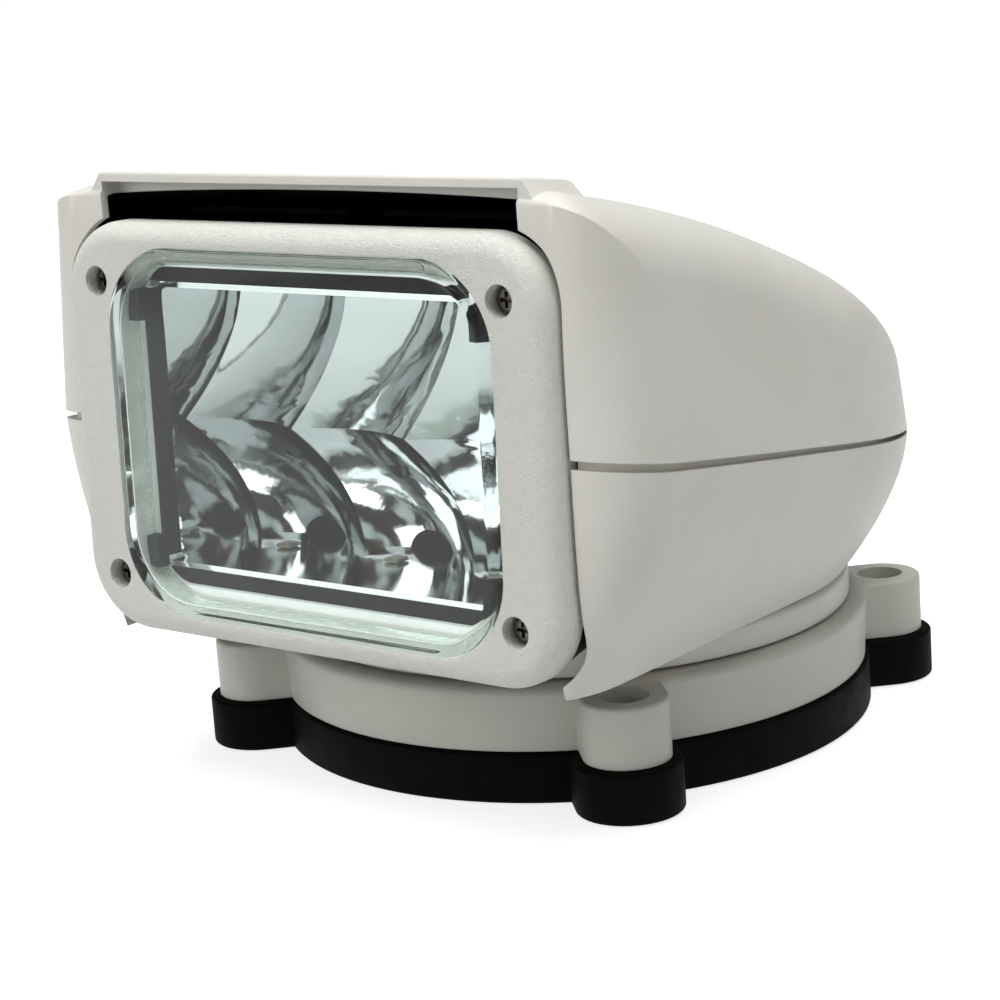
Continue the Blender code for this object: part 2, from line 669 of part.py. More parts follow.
def base_housing():
    """The plinth: a hollow round body with four screw bosses and a hub for the pan bearing."""
    white = material("white_plastic", WHITE, 0.45)
    ceiling = PLINTH_TOP_Z - PLINTH_WALL
    wall = PLINTH_RADIUS - PLINTH_WALL
    ledge = PLINTH_FOOT_Z + COVER_THICKNESS + 2 * SEAT
    bore = SPINDLE_RADIUS + SEAT
    centre = (PLINTH_RADIUS - PLINTH_ROUND, PLINTH_TOP_Z - PLINTH_ROUND)
    profile = [(PLINTH_RADIUS - 0.0008, PLINTH_FOOT_Z)]
    profile += arc(centre, PLINTH_ROUND, 0.0, pi / 2, 4)
    profile += [(HUB_RADIUS, PLINTH_TOP_Z), (HUB_RADIUS, HUB_TOP_Z), (bore, HUB_TOP_Z)]
    profile += [(bore, ceiling - 0.0020), (HUB_RADIUS, ceiling - 0.0020), (HUB_RADIUS, ceiling)]
    profile += [(wall - 0.0030, ceiling), (wall - 0.0030, ledge), (wall, ledge), (wall, PLINTH_FOOT_Z)]
    body = add("base_housing", turned(profile), white)
    for place in BOSS_PLACES:
        top = PLINTH_FOOT_Z + BOSS_HEIGHT
        boss = prism(web_outline(place, BOSS_RADIUS), PLINTH_FOOT_Z, top, rounding=0.0010, steps=2)
        join(body, add("boss", boss))
    for place in BOSS_PLACES:
        top = PLINTH_FOOT_Z + BOSS_HEIGHT
        sink = rod(place, BOSS_SINK_RADIUS, top - BOSS_SINK_DEPTH, top + 0.01, segments=BOSS_SEGMENTS)
        cut(body, add("sink", sink), add("hole", rod(place, BOSS_HOLE_RADIUS, 0.0, top)))
    for angle in (0.0, pi / 2, pi, 3 * pi / 2):
        place = COVER_SCREW_CIRCLE * cos(angle), COVER_SCREW_CIRCLE * sin(angle)
        post = add("post", rod(place, 0.0042, ledge, ceiling + 0.0010))
        join(body, post)
        cut(body, add("hole", rod(place, 0.0018, 0.0, ledge + 0.0070, segments=12)))
    return body


def base_cover():
    """The plate that closes the plinth from below, with the hole for the supply cable."""
    black = material("black_plastic", (0.02, 0.02, 0.02, 1.0), 0.5)
    low = PLINTH_FOOT_Z + SEAT
    plate = add("base_cover", prism([(COVER_RADIUS * cos(a), COVER_RADIUS * sin(a))
                                     for a in np.linspace(0, 2 * pi, ROUND_SEGMENTS, endpoint=False)],
                                    low, low + COVER_THICKNESS), black)
    cut(plate, add("hole", rod((0, 0), CABLE_HOLE_RADIUS, 0.0, 0.05, segments=24)))
    for angle in (0.0, pi / 2, pi, 3 * pi / 2):
        place = COVER_SCREW_CIRCLE * cos(angle), COVER_SCREW_CIRCLE * sin(angle)
        cut(plate, add("hole", rod(place, 0.0020, 0.0, 0.05, segments=12)))
    return plate


def screw(name, head_radius, head_height, shank_radius, shank_length, matrix):
    """A pan-head screw: its head up, the underside of the head at the origin."""
    steel = material("stainless_steel", (0.45, 0.45, 0.44, 1.0), 0.3, 1.0)
    profile = [(0.0, -shank_length), (shank_radius, -shank_length), (shank_radius, 0.0), (head_radius, 0.0),
               (head_radius * 0.9, head_height), (0.0, head_height)]
    made = add(name, turned(profile, segments=SCREW_SEGMENTS), steel)
    made.data.transform(matrix)
    return made


def cover_screws():
    """Four screws that hold the base cover from below."""
    made = []
    for index, angle in enumerate((0.0, pi / 2, pi, 3 * pi / 2)):
        place = COVER_SCREW_CIRCLE * cos(angle), COVER_SCREW_CIRCLE * sin(angle), PLINTH_FOOT_Z
        turn = Matrix.Translation(place) @ Matrix.Rotation(pi, 4, "X")
        made.append(screw("cover_screw_%d" % (index + 1), 0.0032, 0.0020, 0.0015, 0.0080, turn))
    return made


def pan_gear():
    """The fixed toothed wheel on the plinth, around the hub."""
    nylon = material("white_nylon", (0.75, 0.74, 0.68, 1.0), 0.4)
    low = PLINTH_TOP_Z + SEAT
    teeth = gear_outline(PAN_GEAR_TEETH, pi / 2)
    wheel = add("pan_gear", prism(teeth, low, low + PAN_GEAR_WIDTH), nylon, 30.0)
    cut(wheel, add("bore", rod((0, 0), HUB_RADIUS + SEAT, 0.0, 0.1, segments=ROUND_SEGMENTS)))
    return wheel


def thrust_washer():
    """The slip ring between the hub and the turntable."""
    bronze = material("bronze", (0.55, 0.38, 0.2, 1.0), 0.35, 1.0)
    low, high = HUB_TOP_Z + SEAT, WASHER_TOP_Z
    inner, outer = SPINDLE_RADIUS + SEAT, HUB_RADIUS - SEAT
    profile = [(inner, low), (inner, high), (outer, high), (outer, low)]
    return add("thrust_washer", turned(profile, segments=BEARING_SEGMENTS), bronze)


def dirt_seal():
    """The rubber ring that keeps spray out of the turntable."""
    rubber = material("black_rubber", BLACK, 0.85)
    low = PLINTH_TOP_Z + SEAT
    high = low + DIRT_SEAL_HEIGHT
    inner, outer = DIRT_SEAL_RADIUS - 0.0015, DIRT_SEAL_RADIUS + 0.0015
    lip = low + DIRT_SEAL_HEIGHT * 0.4
    profile = [(inner, low), (inner, lip), (inner + 0.0004, high), (inner + 0.0018, high), (outer, lip), (outer, low)]
    return add("dirt_seal", turned(profile), rubber)


def turntable():
    """The ring that turns on the plinth and carries the head."""
    white = material("white_plastic", WHITE, 0.45)
    inner = TURNTABLE_RADIUS - TURNTABLE_WALL
    ceiling = TURNTABLE_SHOULDER_Z - TURNTABLE_CEILING
    bore = SPINDLE_RADIUS + SEAT
    boss = HUB_RADIUS + RUN
    corner = 0.0022
    profile = [(TURNTABLE_RADIUS, TURNTABLE_FOOT_Z)]
    profile += arc((TURNTABLE_RADIUS - corner, TURNTABLE_SHOULDER_Z - corner), corner, 0.0, pi / 2, 4)
    profile += [(PLATFORM_RADIUS, TURNTABLE_SHOULDER_Z), (PLATFORM_RADIUS, PLATFORM_Z), (bore, PLATFORM_Z)]
    profile += [(bore, TURNTABLE_BOSS_Z), (boss, TURNTABLE_BOSS_Z), (boss, ceiling), (inner, ceiling)]
    profile += [(inner, TURNTABLE_FOOT_Z)]
    ring = add("turntable", turned(profile), white)
    cut(ring, add("shaft_hole", rod((0.0, PAN_PINION_Y), 0.0034, 0.0, 0.1)))
    for place in head_screw_places():
        cut(ring, add("hole", rod(place, 0.0020, FLOOR_Z - 0.0075, FLOOR_Z + 0.01, segments=12)))
    return ring


def head_screw_places():
    """Where the floor of the lower shell is screwed to the turntable."""
    reach = (PLATFORM_RADIUS - 0.0120) / sqrt(2)
    return [(sx * reach, sy * reach) for sx, sy in ((-1, -1), (1, -1), (1, 1), (-1, 1))]


def shell_screw_places():
    """Where long screws from below hold the two shells together."""
    return [(side * x, y) for x, y in POST_PLACES for side in (-1, 1)]


def pan_spindle():
    """The hollow shaft that the head turns on, and the cable passes through."""
    steel = material("bright_steel", (0.5, 0.5, 0.5, 1.0), 0.35, 1.0)
    low = PLINTH_TOP_Z - PLINTH_WALL - 0.0120
    seat = PLATFORM_Z + SEAT
    bore = SPINDLE_BORE_RADIUS
    profile = [(bore, low), (SPINDLE_RADIUS, low), (SPINDLE_RADIUS, seat), (SPINDLE_FLANGE_RADIUS, seat),
               (SPINDLE_FLANGE_RADIUS, seat + 0.0022), (bore, seat + 0.0022)]
    return add("pan_spindle", turned(profile, segments=BEARING_SEGMENTS), steel)


def spindle_ring():
    """The ring that keeps the spindle in the hub, under the plinth's ceiling."""
    steel = material("bright_steel", (0.5, 0.5, 0.5, 1.0), 0.35, 1.0)
    high = PLINTH_TOP_Z - PLINTH_WALL - 0.0020 - SEAT
    inner, outer = SPINDLE_RADIUS + SEAT, SPINDLE_RADIUS + 0.0060
    profile = [(inner, high - 0.0030), (inner, high), (outer, high), (outer, high - 0.0030)]
    return add("spindle_ring", turned(profile, segments=BEARING_SEGMENTS), steel)


def saddle(name, side, low, high):
    """A block on the inside of a cheek that holds one half of a tilt bush."""
    inner = side * SADDLE_INNER_X
    outer = side * (HEAD_HALF_WIDTH + 0.001)
    front, back = TILT_AXIS_Y - SADDLE_HALF_DEPTH, TILT_AXIS_Y + SADDLE_HALF_DEPTH
    return add(name, block((min(inner, outer), front, low), (max(inner, outer), back, high)))


def tongue_notch(name, side):
    """Clears the tongue where the roof's saddle comes down beside it."""
    ends = sorted((side * (SADDLE_INNER_X - 0.005), side * (HEAD_HALF_WIDTH + 0.005)))
    reach = SADDLE_HALF_DEPTH + TONGUE_GAP
    low = TILT_AXIS_Z - SEAT
    return add(name, block((ends[0], TILT_AXIS_Y - reach, low), (ends[1], TILT_AXIS_Y + reach, low + 0.01)))


def bush_pocket(name, side):
    """The round seat of a tilt bush, cut into both shells."""
    radius = TILT_PIN_RADIUS + SEAT + BUSH_WALL + SEAT
    ends = sorted((side * (SADDLE_INNER_X - 0.002), side * (SADDLE_INNER_X + TILT_PIN_LENGTH * 0.62)))
    return add(name, rod((TILT_AXIS_Y, TILT_AXIS_Z), radius, ends[0], ends[1], "X", BOSS_SEGMENTS))


def lower_shell():
    """Cheeks and floor below the split line, with a tongue that reaches into the roof."""
    white = material("shell_white", WHITE, 0.42)
    wall = SHELL_WALL
    tongue_outer = wall + TONGUE_GAP
    tongue_inner = tongue_outer + TONGUE_WALL
    loops = [lower_loop(wall, lambda foot, top, y: FLOOR_Z),
             lower_loop(wall, lambda foot, top, y: foot),
             lower_loop(0.0, lambda foot, top, y: foot)]
    for t in (0.18, 0.4, 0.66):
        loops.append(lower_loop(0.0, lambda foot, top, y, t=t: foot + t * (top - foot)))
    loops += [lower_loop(0.0, lambda foot, top, y: top - split_reveal(y)),
              lower_loop(tongue_outer, lambda foot, top, y: top - split_reveal(y)),
              lower_loop(tongue_outer, lambda foot, top, y: top + TONGUE_HEIGHT),
              lower_loop(tongue_inner, lambda foot, top, y: top + TONGUE_HEIGHT),
              lower_loop(tongue_inner, lambda foot, top, y: top - 0.0060),
              lower_loop(wall, lambda foot, top, y: top - 0.0085)]
    for t in (0.66, 0.36):
        loops.append(lower_loop(wall, lambda foot, top, y, t=t: foot + t * (top - foot)))
    loops.append(lower_loop(wall, lambda foot, top, y: FLOOR_TOP_Z))
    shell = add("lower_shell", loft(loops), white)
    for place in shell_screw_places():
        post = add("post", rod(place, POST_RADIUS, FLOOR_Z + 0.001, split_z(place[1]) - SEAT))
        join(shell, combine(post, add("trim", head_core(wall * 0.5)), "INTERSECT"))
    groove = split_z(TILT_AXIS_Y + SADDLE_HALF_DEPTH) - SPLIT_REVEAL_FRONT
    for side in (-1, 1):
        foot = saddle("saddle_foot", side, TILT_AXIS_Z - SADDLE_HEIGHT, groove)
        crown = saddle("saddle_crown", side, groove - 0.001, TILT_AXIS_Z - SEAT)
        combine(foot, add("trim", head_core(wall * 0.5)), "INTERSECT")
        combine(crown, add("trim", head_core(wall + TONGUE_GAP)), "INTERSECT")
        join(shell, foot, crown)
        cut(shell, tongue_notch("notch", side))
    cut(shell, opening_cutter("opening", FLOOR_FRONT_Y))
    for side in (-1, 1):
        cut(shell, bush_pocket("pocket", side))
    cut(shell, add("spindle_hole", rod((0, 0), SPINDLE_FLANGE_RADIUS + RUN, 0.0, FLOOR_TOP_Z + 0.01, segments=24)))
    cut(shell, add("shaft_hole", rod((0.0, PAN_PINION_Y), 0.0034, 0.0, FLOOR_TOP_Z + 0.01)))
    for place in head_screw_places():
        cut(shell, add("hole", rod(place, 0.0020, 0.0, FLOOR_TOP_Z + 0.01, segments=12)))
    for place in shell_screw_places():
        cut(shell, add("hole", rod(place, 0.0019, 0.0, 0.2, segments=12)))
    return shell


def bridge():
    """The bar across the front of the roof, over the tilt slot."""
    front = HEAD_FRONT_Y + FACE_LEAN * (ROOF_FRONT_Z - SPLIT_FRONT_Z)
    along = [front + BRIDGE_DEPTH * u for u in np.linspace(0, 1, 5)]
    top = [(y, BRIDGE_TOP_Z - BRIDGE_SLOPE * (y - front)) for y in along]
    bottom = [(y, roof_z(y) - SHELL_WALL * 0.9) for y in reversed(along)]
    bm = prism(top + bottom, -BRIDGE_HALF_WIDTH, BRIDGE_HALF_WIDTH, "X")
    for vert in bm.verts:
        if vert.co.z > roof_z(vert.co.y):
            vert.co.x -= BRIDGE_END_SLANT if vert.co.x > 0 else -BRIDGE_END_SLANT
    return bm


def upper_shell():
    """Roof and upper cheeks: a domed cup with the lamp's opening and the bridge over the slot."""
    white = material("shell_white", WHITE, 0.42)
    shell = add("upper_shell", roof_shell(), white)
    join(shell, add("bridge", bridge()))
    cut(shell, opening_cutter("opening", HEAD_FRONT_Y + 0.0065))
    for place in shell_screw_places():
        post = add("post", rod(place, POST_RADIUS, split_z(place[1]) + SEAT, ROOF_FRONT_Z))
        join(shell, combine(post, add("trim", head_core(SHELL_WALL * 0.5)), "INTERSECT"))
    for side in (-1, 1):
        block_up = saddle("saddle", side, TILT_AXIS_Z + SEAT, TILT_AXIS_Z + SADDLE_HEIGHT)
        join(shell, combine(block_up, add("trim", head_core(SHELL_WALL * 0.5)), "INTERSECT"))
    for side in (-1, 1):
        cut(shell, bush_pocket("pocket", side))
    for place in shell_screw_places():
        top = split_z(place[1]) + 0.0140
        cut(shell, add("hole", rod(place, 0.0019, 0.0, top, segments=12)))
    return shell


def head_screws():
    """Four screws that hold the floor of the lower shell on the turntable."""
    made = []
    for index, place in enumerate(head_screw_places()):
        turn = Matrix.Translation((place[0], place[1], FLOOR_TOP_Z + SEAT))
        made.append(screw("head_screw_%d" % (index + 1), 0.0036, 0.0024, 0.0016, 0.0090, turn))
    return made


def shell_screws():
    """Four long screws, from under the floor into the roof's posts."""
    made = []
    for index, place in enumerate(shell_screw_places()):
        length = split_z(place[1]) + 0.0120 - FLOOR_Z
        turn = Matrix.Translation((place[0], place[1], FLOOR_Z - SEAT)) @ Matrix.Rotation(pi, 4, "X")
        made.append(screw("shell_screw_%d" % (index + 1), 0.0031, 0.0022, 0.0015, length, turn))
    return made


def bay_liner():
    """The black screen behind the lamp, curved about the tilt axis, with a slot for the toothed sector."""
    black = material("black_plastic", (0.02, 0.02, 0.02, 1.0), 0.5)
    centre = (TILT_AXIS_Y, TILT_AXIS_Z)
    profile = arc(centre, LINER_RADIUS + LINER_THICKNESS, LINER_FOOT, LINER_TOP, 16)
    profile += arc(centre, LINER_RADIUS, LINER_TOP, LINER_FOOT, 16)
    screen = add("bay_liner", prism(profile, -LINER_HALF_WIDTH, LINER_HALF_WIDTH, "X"), black)
    reach = LINER_RADIUS + LINER_THICKNESS + 0.01
    low = TILT_PINION_ANGLE - (SECTOR_BELOW + 0.5) * SECTOR_TOOTH - TILT_UP
    high = TILT_PINION_ANGLE + (SECTOR_ABOVE + 0.5) * SECTOR_TOOTH + TILT_DOWN
    slot = arc(centre, reach, low - LINER_SLOT_MARGIN, high + LINER_SLOT_MARGIN, 12) + [centre]
    cut(screen, add("slot", prism(slot, -LINER_SLOT_HALF, LINER_SLOT_HALF, "X")))
    foot_y = TILT_AXIS_Y + (LINER_RADIUS + LINER_THICKNESS * 0.5) * cos(LINER_FOOT)
    foot_z = TILT_AXIS_Z + (LINER_RADIUS + LINER_THICKNESS * 0.5) * sin(LINER_FOOT)
    low = FLOOR_TOP_Z + SEAT
    tab = block((-LINER_HALF_WIDTH, foot_y, low), (LINER_HALF_WIDTH, foot_y + 0.0110, low + LINER_THICKNESS))
    riser = block((-LINER_HALF_WIDTH, foot_y - 0.0006, low), (LINER_HALF_WIDTH, foot_y + 0.0012, foot_z + 0.0020))
    join(screen, add("riser", riser), add("tab", tab))
    core = add("trim", head_core(SHELL_WALL + 0.0012))
    combine(screen, core, "INTERSECT")
    return screen


def drive_bracket():
    """The angle bracket on the floor that carries the tilt gear motor."""
    steel = material("zinc_steel", (0.4, 0.41, 0.42, 1.0), 0.4, 1.0)
    low = FLOOR_TOP_Z + SEAT
    thick = BRACKET_THICKNESS
    face = SECTOR_WIDTH / 2 + 0.0030
    front = TILT_PINION_Y - 0.0050
    back = TILT_PINION_Y + MOTOR_OFFSET + TILT_MOTOR_RADIUS + 0.0030
    top = TILT_PINION_Z + TILT_MOTOR_RADIUS + 0.0030
    plate = add("drive_bracket", block((face, front, low), (face + thick, back, top)), steel)
    join(plate, add("foot", block((face + 0.0005, front, low), (face + BRACKET_HALF_WIDTH, back, low + thick))))
    hole = rod((TILT_PINION_Y, TILT_PINION_Z), 0.0040, face - 0.001, face + thick + 0.001, "X")
    cut(plate, add("hole", hole))
    return plate


def gear_motor(name, radius, gearbox, length, offset):
    """A small gear motor that stands on its gearbox, its shaft line on the origin's vertical."""
    zinc = material("zinc_steel", (0.4, 0.41, 0.42, 1.0), 0.4, 1.0)
    can = radius * 0.94
    edge = 0.0010
    profile = [(0.0, 0.0), (radius, 0.0), (radius, gearbox), (can, gearbox), (can, gearbox + length - edge),
               (can - edge, gearbox + length), (0.0045, gearbox + length), (0.0045, gearbox + length + 0.002),
               (0.0, gearbox + length + 0.002)]
    return add(name, turned(profile, centre=offset, segments=BEARING_SEGMENTS), zinc)


def pan_motor():
    """The gear motor that turns the head, on the floor over the pan gear."""
    motor = gear_motor("pan_motor", PAN_MOTOR_RADIUS, PAN_GEARBOX_LENGTH, PAN_MOTOR_LENGTH, (0.0, MOTOR_OFFSET))
    motor.data.transform(Matrix.Translation((0.0, PAN_PINION_Y, FLOOR_TOP_Z + SEAT)))
    return motor


def tilt_motor():
    """The gear motor that tilts the lamp, lying across the head behind the bracket."""
    motor = gear_motor("tilt_motor", TILT_MOTOR_RADIUS, TILT_GEARBOX_LENGTH, TILT_MOTOR_LENGTH, (0.0, MOTOR_OFFSET))
    face = SECTOR_WIDTH / 2 + 0.0030 + BRACKET_THICKNESS + SEAT
    motor.data.transform(Matrix.Translation((face, TILT_PINION_Y, TILT_PINION_Z)) @ Matrix.Rotation(pi / 2, 4, "Y"))
    return motor


def pinion(name, low, high, shaft_low, shaft_high):
    """A pinion with its shaft, upright on the origin's vertical, a tooth gap on its -Y side."""
    brass = material("brass", (0.6, 0.45, 0.18, 1.0), 0.3, 1.0)
    teeth = gear_outline(PINION_TEETH, -pi / 2 + pi / PINION_TEETH)
    wheel = add(name, prism(teeth, low, high), brass, 30.0)
    join(wheel, add("shaft", rod((0, 0), 0.0025, shaft_low, shaft_high)))
    return wheel


def pan_pinion():
    """The driving wheel on the pan motor's shaft, in mesh with the fixed pan gear."""
    low = PLINTH_TOP_Z + SEAT
    wheel = pinion("pan_pinion", low + 0.0003, low + PAN_GEAR_WIDTH - 0.0003, low + 0.0003, FLOOR_TOP_Z - 0.0001)
    wheel.data.transform(Matrix.Translation((0.0, PAN_PINION_Y, 0.0)))
    return wheel


def tilt_pinion():
    """The driving wheel on the tilt motor's shaft, in mesh with the lamp's toothed sector."""
    half = SECTOR_WIDTH / 2
    wheel = pinion("tilt_pinion", -half, half, -half - 0.001, half + 0.0030 + BRACKET_THICKNESS)
    across = Matrix.Rotation(pi / 2, 4, "Y")
    spin = Matrix.Rotation(TILT_PINION_ANGLE, 4, "X")
    wheel.data.transform(Matrix.Translation((0.0, TILT_PINION_Y, TILT_PINION_Z)) @ spin @ across)
    return wheel


def control_board():
    """The receiver and motor driver board, on four posts behind the pan motor."""
    green = material("circuit_board", (0.02, 0.12, 0.05, 1.0), 0.5)
    low = FLOOR_TOP_Z + 0.0050
    y = BOARD_Y
    corners = (-BOARD_HALF_X, y - BOARD_HALF_Y, low), (BOARD_HALF_X, y + BOARD_HALF_Y, low + BOARD_THICKNESS)
    board = add("control_board", block(*corners), green)
    for x, half, depth, height in ((-0.014, 0.005, 0.006, 0.010), (-0.001, 0.005, 0.006, 0.010), (0.013, 0.006, 0.004, 0.006)):
        join(board, add("part", block((x - half, y - depth, low + 0.001), (x + half, y + depth, low + height))))
    for sx in (-1, 1):
        for sy in (-1, 1):
            place = sx * (BOARD_HALF_X - 0.004), y + sy * (BOARD_HALF_Y - 0.003)
            join(board, add("post", rod(place, 0.0022, FLOOR_TOP_Z + SEAT, low + 0.001, segments=12)))
    return board


def tilt_bush(name, side):
    """The acetal bush of one tilt pin, clamped between the shells."""
    acetal = material("acetal", (0.8, 0.79, 0.75, 1.0), 0.4)
    inner = TILT_PIN_RADIUS + SEAT
    ends = sorted((side * SADDLE_INNER_X, side * (SADDLE_INNER_X + TILT_PIN_LENGTH * 0.62 - SEAT)))
    bush = add(name, rod((TILT_AXIS_Y, TILT_AXIS_Z), inner + BUSH_WALL, ends[0], ends[1], "X", BOSS_SEGMENTS), acetal)
    cut(bush, add("bore", rod((TILT_AXIS_Y, TILT_AXIS_Z), inner, -0.2, 0.2, "X", BOSS_SEGMENTS)))
    return bush


def bezel():
    """The lamp's front frame: round-edged, with the lens opening and four sunk screw holes."""
    white = material("bezel_white", (0.74, 0.74, 0.69, 1.0), 0.5)
    outline = rounded_rectangle(BEZEL_HALF_WIDTH, BEZEL_HALF_HEIGHT, BEZEL_CORNER, 7)
    frame = prism(outline, BEZEL_FACE, BEZEL_BACK, "Y", BEZEL_ROUND, 4, round_low=True, round_high=False)
    frame = add("bezel", frame, white)
    gap = 0.0004
    window = rounded_rectangle(GLASS_HALF_WIDTH + gap, GLASS_HALF_HEIGHT + gap, GLASS_CORNER + gap, 7)
    cut(frame, add("window", prism(window, BEZEL_FACE - 0.01, BEZEL_BACK + 0.01, "Y")))
    for x, z in bezel_screw_places():
        sink = rod((x, z), BEZEL_SINK_RADIUS, BEZEL_FACE - 0.01, BEZEL_FACE + BEZEL_SINK_DEPTH, "Y", 16)
        cut(frame, add("sink", sink), add("hole", rod((x, z), 0.0020, BEZEL_FACE - 0.01, BEZEL_BACK + 0.01, "Y", 12)))
    return frame


def bezel_screw_places():
    """The four screw places of the bezel, seen from the front."""
    return [(sx * BEZEL_SCREW_X, sz * BEZEL_SCREW_Z) for sx, sz in ((-1, 1), (1, 1), (1, -1), (-1, -1))]


def bezel_screws():
    """Four screws that hold the bezel on the lamp housing."""
    made = []
    for index, (x, z) in enumerate(bezel_screw_places()):
        seat = BEZEL_FACE + BEZEL_SINK_DEPTH - SEAT
        turn = Matrix.Translation((x, seat, z)) @ Matrix.Rotation(pi / 2, 4, "X")
        made.append(screw("bezel_screw_%d" % (index + 1), 0.0036, 0.0024, 0.0016, 0.0090, turn))
    return made


def glass_lens():
    """The raised glass dish in the bezel's opening."""
    glass = material("clear_glass", (0.93, 0.98, 0.96, 1.0), 0.02, 0.0, 1.0)
    outline = rounded_rectangle(GLASS_HALF_WIDTH, GLASS_HALF_HEIGHT, GLASS_CORNER, 7)
    dish = add("glass_lens", prism(outline, GLASS_FACE, GLASS_BACK, "Y", GLASS_ROUND, 3, True, False), glass)
    wall = GLASS_WALL
    hollow = rounded_rectangle(GLASS_HALF_WIDTH - wall, GLASS_HALF_HEIGHT - wall, GLASS_CORNER - wall, 7)
    cut(dish, add("hollow", prism(hollow, GLASS_FACE + wall, GLASS_BACK + 0.01, "Y")))
    return dish


def lens_seal():
    """The flat rubber ring between the lens and the reflector's frame."""
    rubber = material("black_rubber", BLACK, 0.85)
    inset = 0.0002
    outer = rounded_rectangle(GLASS_HALF_WIDTH - inset, GLASS_HALF_HEIGHT - inset, GLASS_CORNER - inset, 8)
    inner_inset = GLASS_WALL + 0.0006
    inner = rounded_rectangle(GLASS_HALF_WIDTH - inner_inset, GLASS_HALF_HEIGHT - inner_inset,
                              GLASS_CORNER - inner_inset, 8)
    ring = add("lens_seal", prism(outer, SEAL_FRONT, SEAL_FRONT + SEAL_THICKNESS, "Y"), rubber)
    cut(ring, add("inner", prism(inner, SEAL_FRONT - 0.01, SEAL_FRONT + 0.01, "Y")))
    return ring


def cell_depth(x, z):
    """Depth of the reflector behind the axis: each cell is half a paraboloid fed from its outer edge."""
    cell = min(max(int((x + CELL_SPAN) / CELL_WIDTH), 0), CELL_COUNT - 1)
    middle = (cell - (CELL_COUNT - 1) / 2) * CELL_WIDTH
    outer = CELL_HEIGHT if z >= 0 else -CELL_HEIGHT
    return CELL_VERTEX - ((x - middle) ** 2 + (z - outer) ** 2) / (4 * CELL_FOCUS)


def cell_grid(columns=8, rows=6):
    """Grid lines of the reflector, with a line on each crest."""
    xs = np.linspace(-CELL_SPAN, CELL_SPAN, CELL_COUNT * columns + 1)
    zs = np.linspace(-CELL_HEIGHT, CELL_HEIGHT, 2 * rows + 1)
    return xs, zs


def reflector():
    """The moulded reflector: six half-paraboloid cells in a box with a flat frame in front."""
    chrome = material("chrome", (0.9, 0.9, 0.9, 1.0), 0.05, 1.0)
    xs, zs = cell_grid()
    bm = bmesh.new()
    front = [[bm.verts.new((x, cell_depth(x, z), z)) for z in zs] for x in xs]
    back = [[bm.verts.new((x, cell_depth(x, z) + REFLECTOR_WALL, z)) for z in zs] for x in xs]
    for i in range(len(xs) - 1):
        for j in range(len(zs) - 1):
            bm.faces.new((front[i][j], front[i + 1][j], front[i + 1][j + 1], front[i][j + 1]))
            bm.faces.new((back[i][j], back[i][j + 1], back[i + 1][j + 1], back[i + 1][j]))
    for j in range(len(zs) - 1):
        for i in (0, len(xs) - 1):
            bm.faces.new((front[i][j], front[i][j + 1], back[i][j + 1], back[i][j]))
    for i in range(len(xs) - 1):
        for j in (0, len(zs) - 1):
            bm.faces.new((front[i][j], front[i + 1][j], back[i + 1][j], back[i][j]))
    mirror = add("reflector", bm, chrome, 25.0)
    sill = FRAME_BACK - REFLECTOR_FRAME * 0.5
    for side in (-1, 1):
        inner, outer = side * (CELL_SPAN - 0.0002), side * (CELL_SPAN + REFLECTOR_WALL)
        wall = block((min(inner, outer), sill, -CELL_HEIGHT), (max(inner, outer), CELL_VERTEX + REFLECTOR_WALL, CELL_HEIGHT))
        join(mirror, add("wall", wall))
    half = CELL_SPAN + REFLECTOR_MARGIN
    frame = rounded_rectangle(half, GLASS_HALF_HEIGHT - 0.0006, GLASS_CORNER, 8)
    plate = add("frame", prism(frame, FRAME_FRONT, FRAME_BACK, "Y"))
    hole = rounded_rectangle(CELL_SPAN - 0.0001, CELL_HEIGHT - 0.0005, 0.0006, 3)
    cut(plate, add("hole", prism(hole, FRAME_FRONT - 0.01, FRAME_BACK + 0.01, "Y")))
    join(mirror, plate)
    return mirror


def lens_pads():
    """Four rubber pads that space the lens from the reflector's frame."""
    rubber = material("black_rubber", BLACK, 0.85)
    made = []
    for index, (sx, sz) in enumerate(((-1, 1), (1, 1), (1, -1), (-1, -1))):
        x0, x1 = sorted((sx * (CELL_SPAN + 0.0006), sx * (CELL_SPAN + 0.0006 + PAD_WIDTH)))
        z0, z1 = sorted((sz * PAD_Z, sz * (PAD_Z - PAD_HEIGHT)))
        front = FRAME_FRONT - SEAT - PAD_THICKNESS
        made.append(add("lens_pad_%d" % (index + 1), block((x0, front, z0), (x1, FRAME_FRONT - SEAT, z1)), rubber))
    return made


def led_board(name, side):
    """The board of three LEDs that closes the cells above or below."""
    white = material("board_white", (0.8, 0.8, 0.78, 1.0), 0.4)
    z0, z1 = sorted((side * BOARD_Z, side * (BOARD_Z + BOARD_THICKNESS)))
    half = CELL_SPAN + REFLECTOR_WALL
    return add(name, block((-half, FRAME_BACK + SEAT, z0), (half, CELL_VERTEX + REFLECTOR_WALL, z1)), white)


def leds():
    """Six LEDs at the focus of their cells, on the faces of the two boards."""
    phosphor = material("led_phosphor", (0.85, 0.7, 0.15, 1.0), 0.3)
    made = []
    for index in range(2 * CELL_COUNT):
        side = 1 if index < CELL_COUNT else -1
        x = (index % CELL_COUNT - (CELL_COUNT - 1) / 2) * CELL_WIDTH
        y = CELL_VERTEX - CELL_FOCUS
        near = BOARD_Z - SEAT
        z0, z1 = sorted((side * near, side * (near - LED_HEIGHT)))
        half = LED_SIZE / 2
        outline = [(x - half, y - half), (x + half, y - half), (x + half, y + half), (x - half, y + half)]
        chip = prism(outline, z0, z1, rounding=0.0004, steps=1, round_low=side > 0, round_high=side < 0)
        made.append(add("led_%d" % (index + 1), chip, phosphor))
    return made


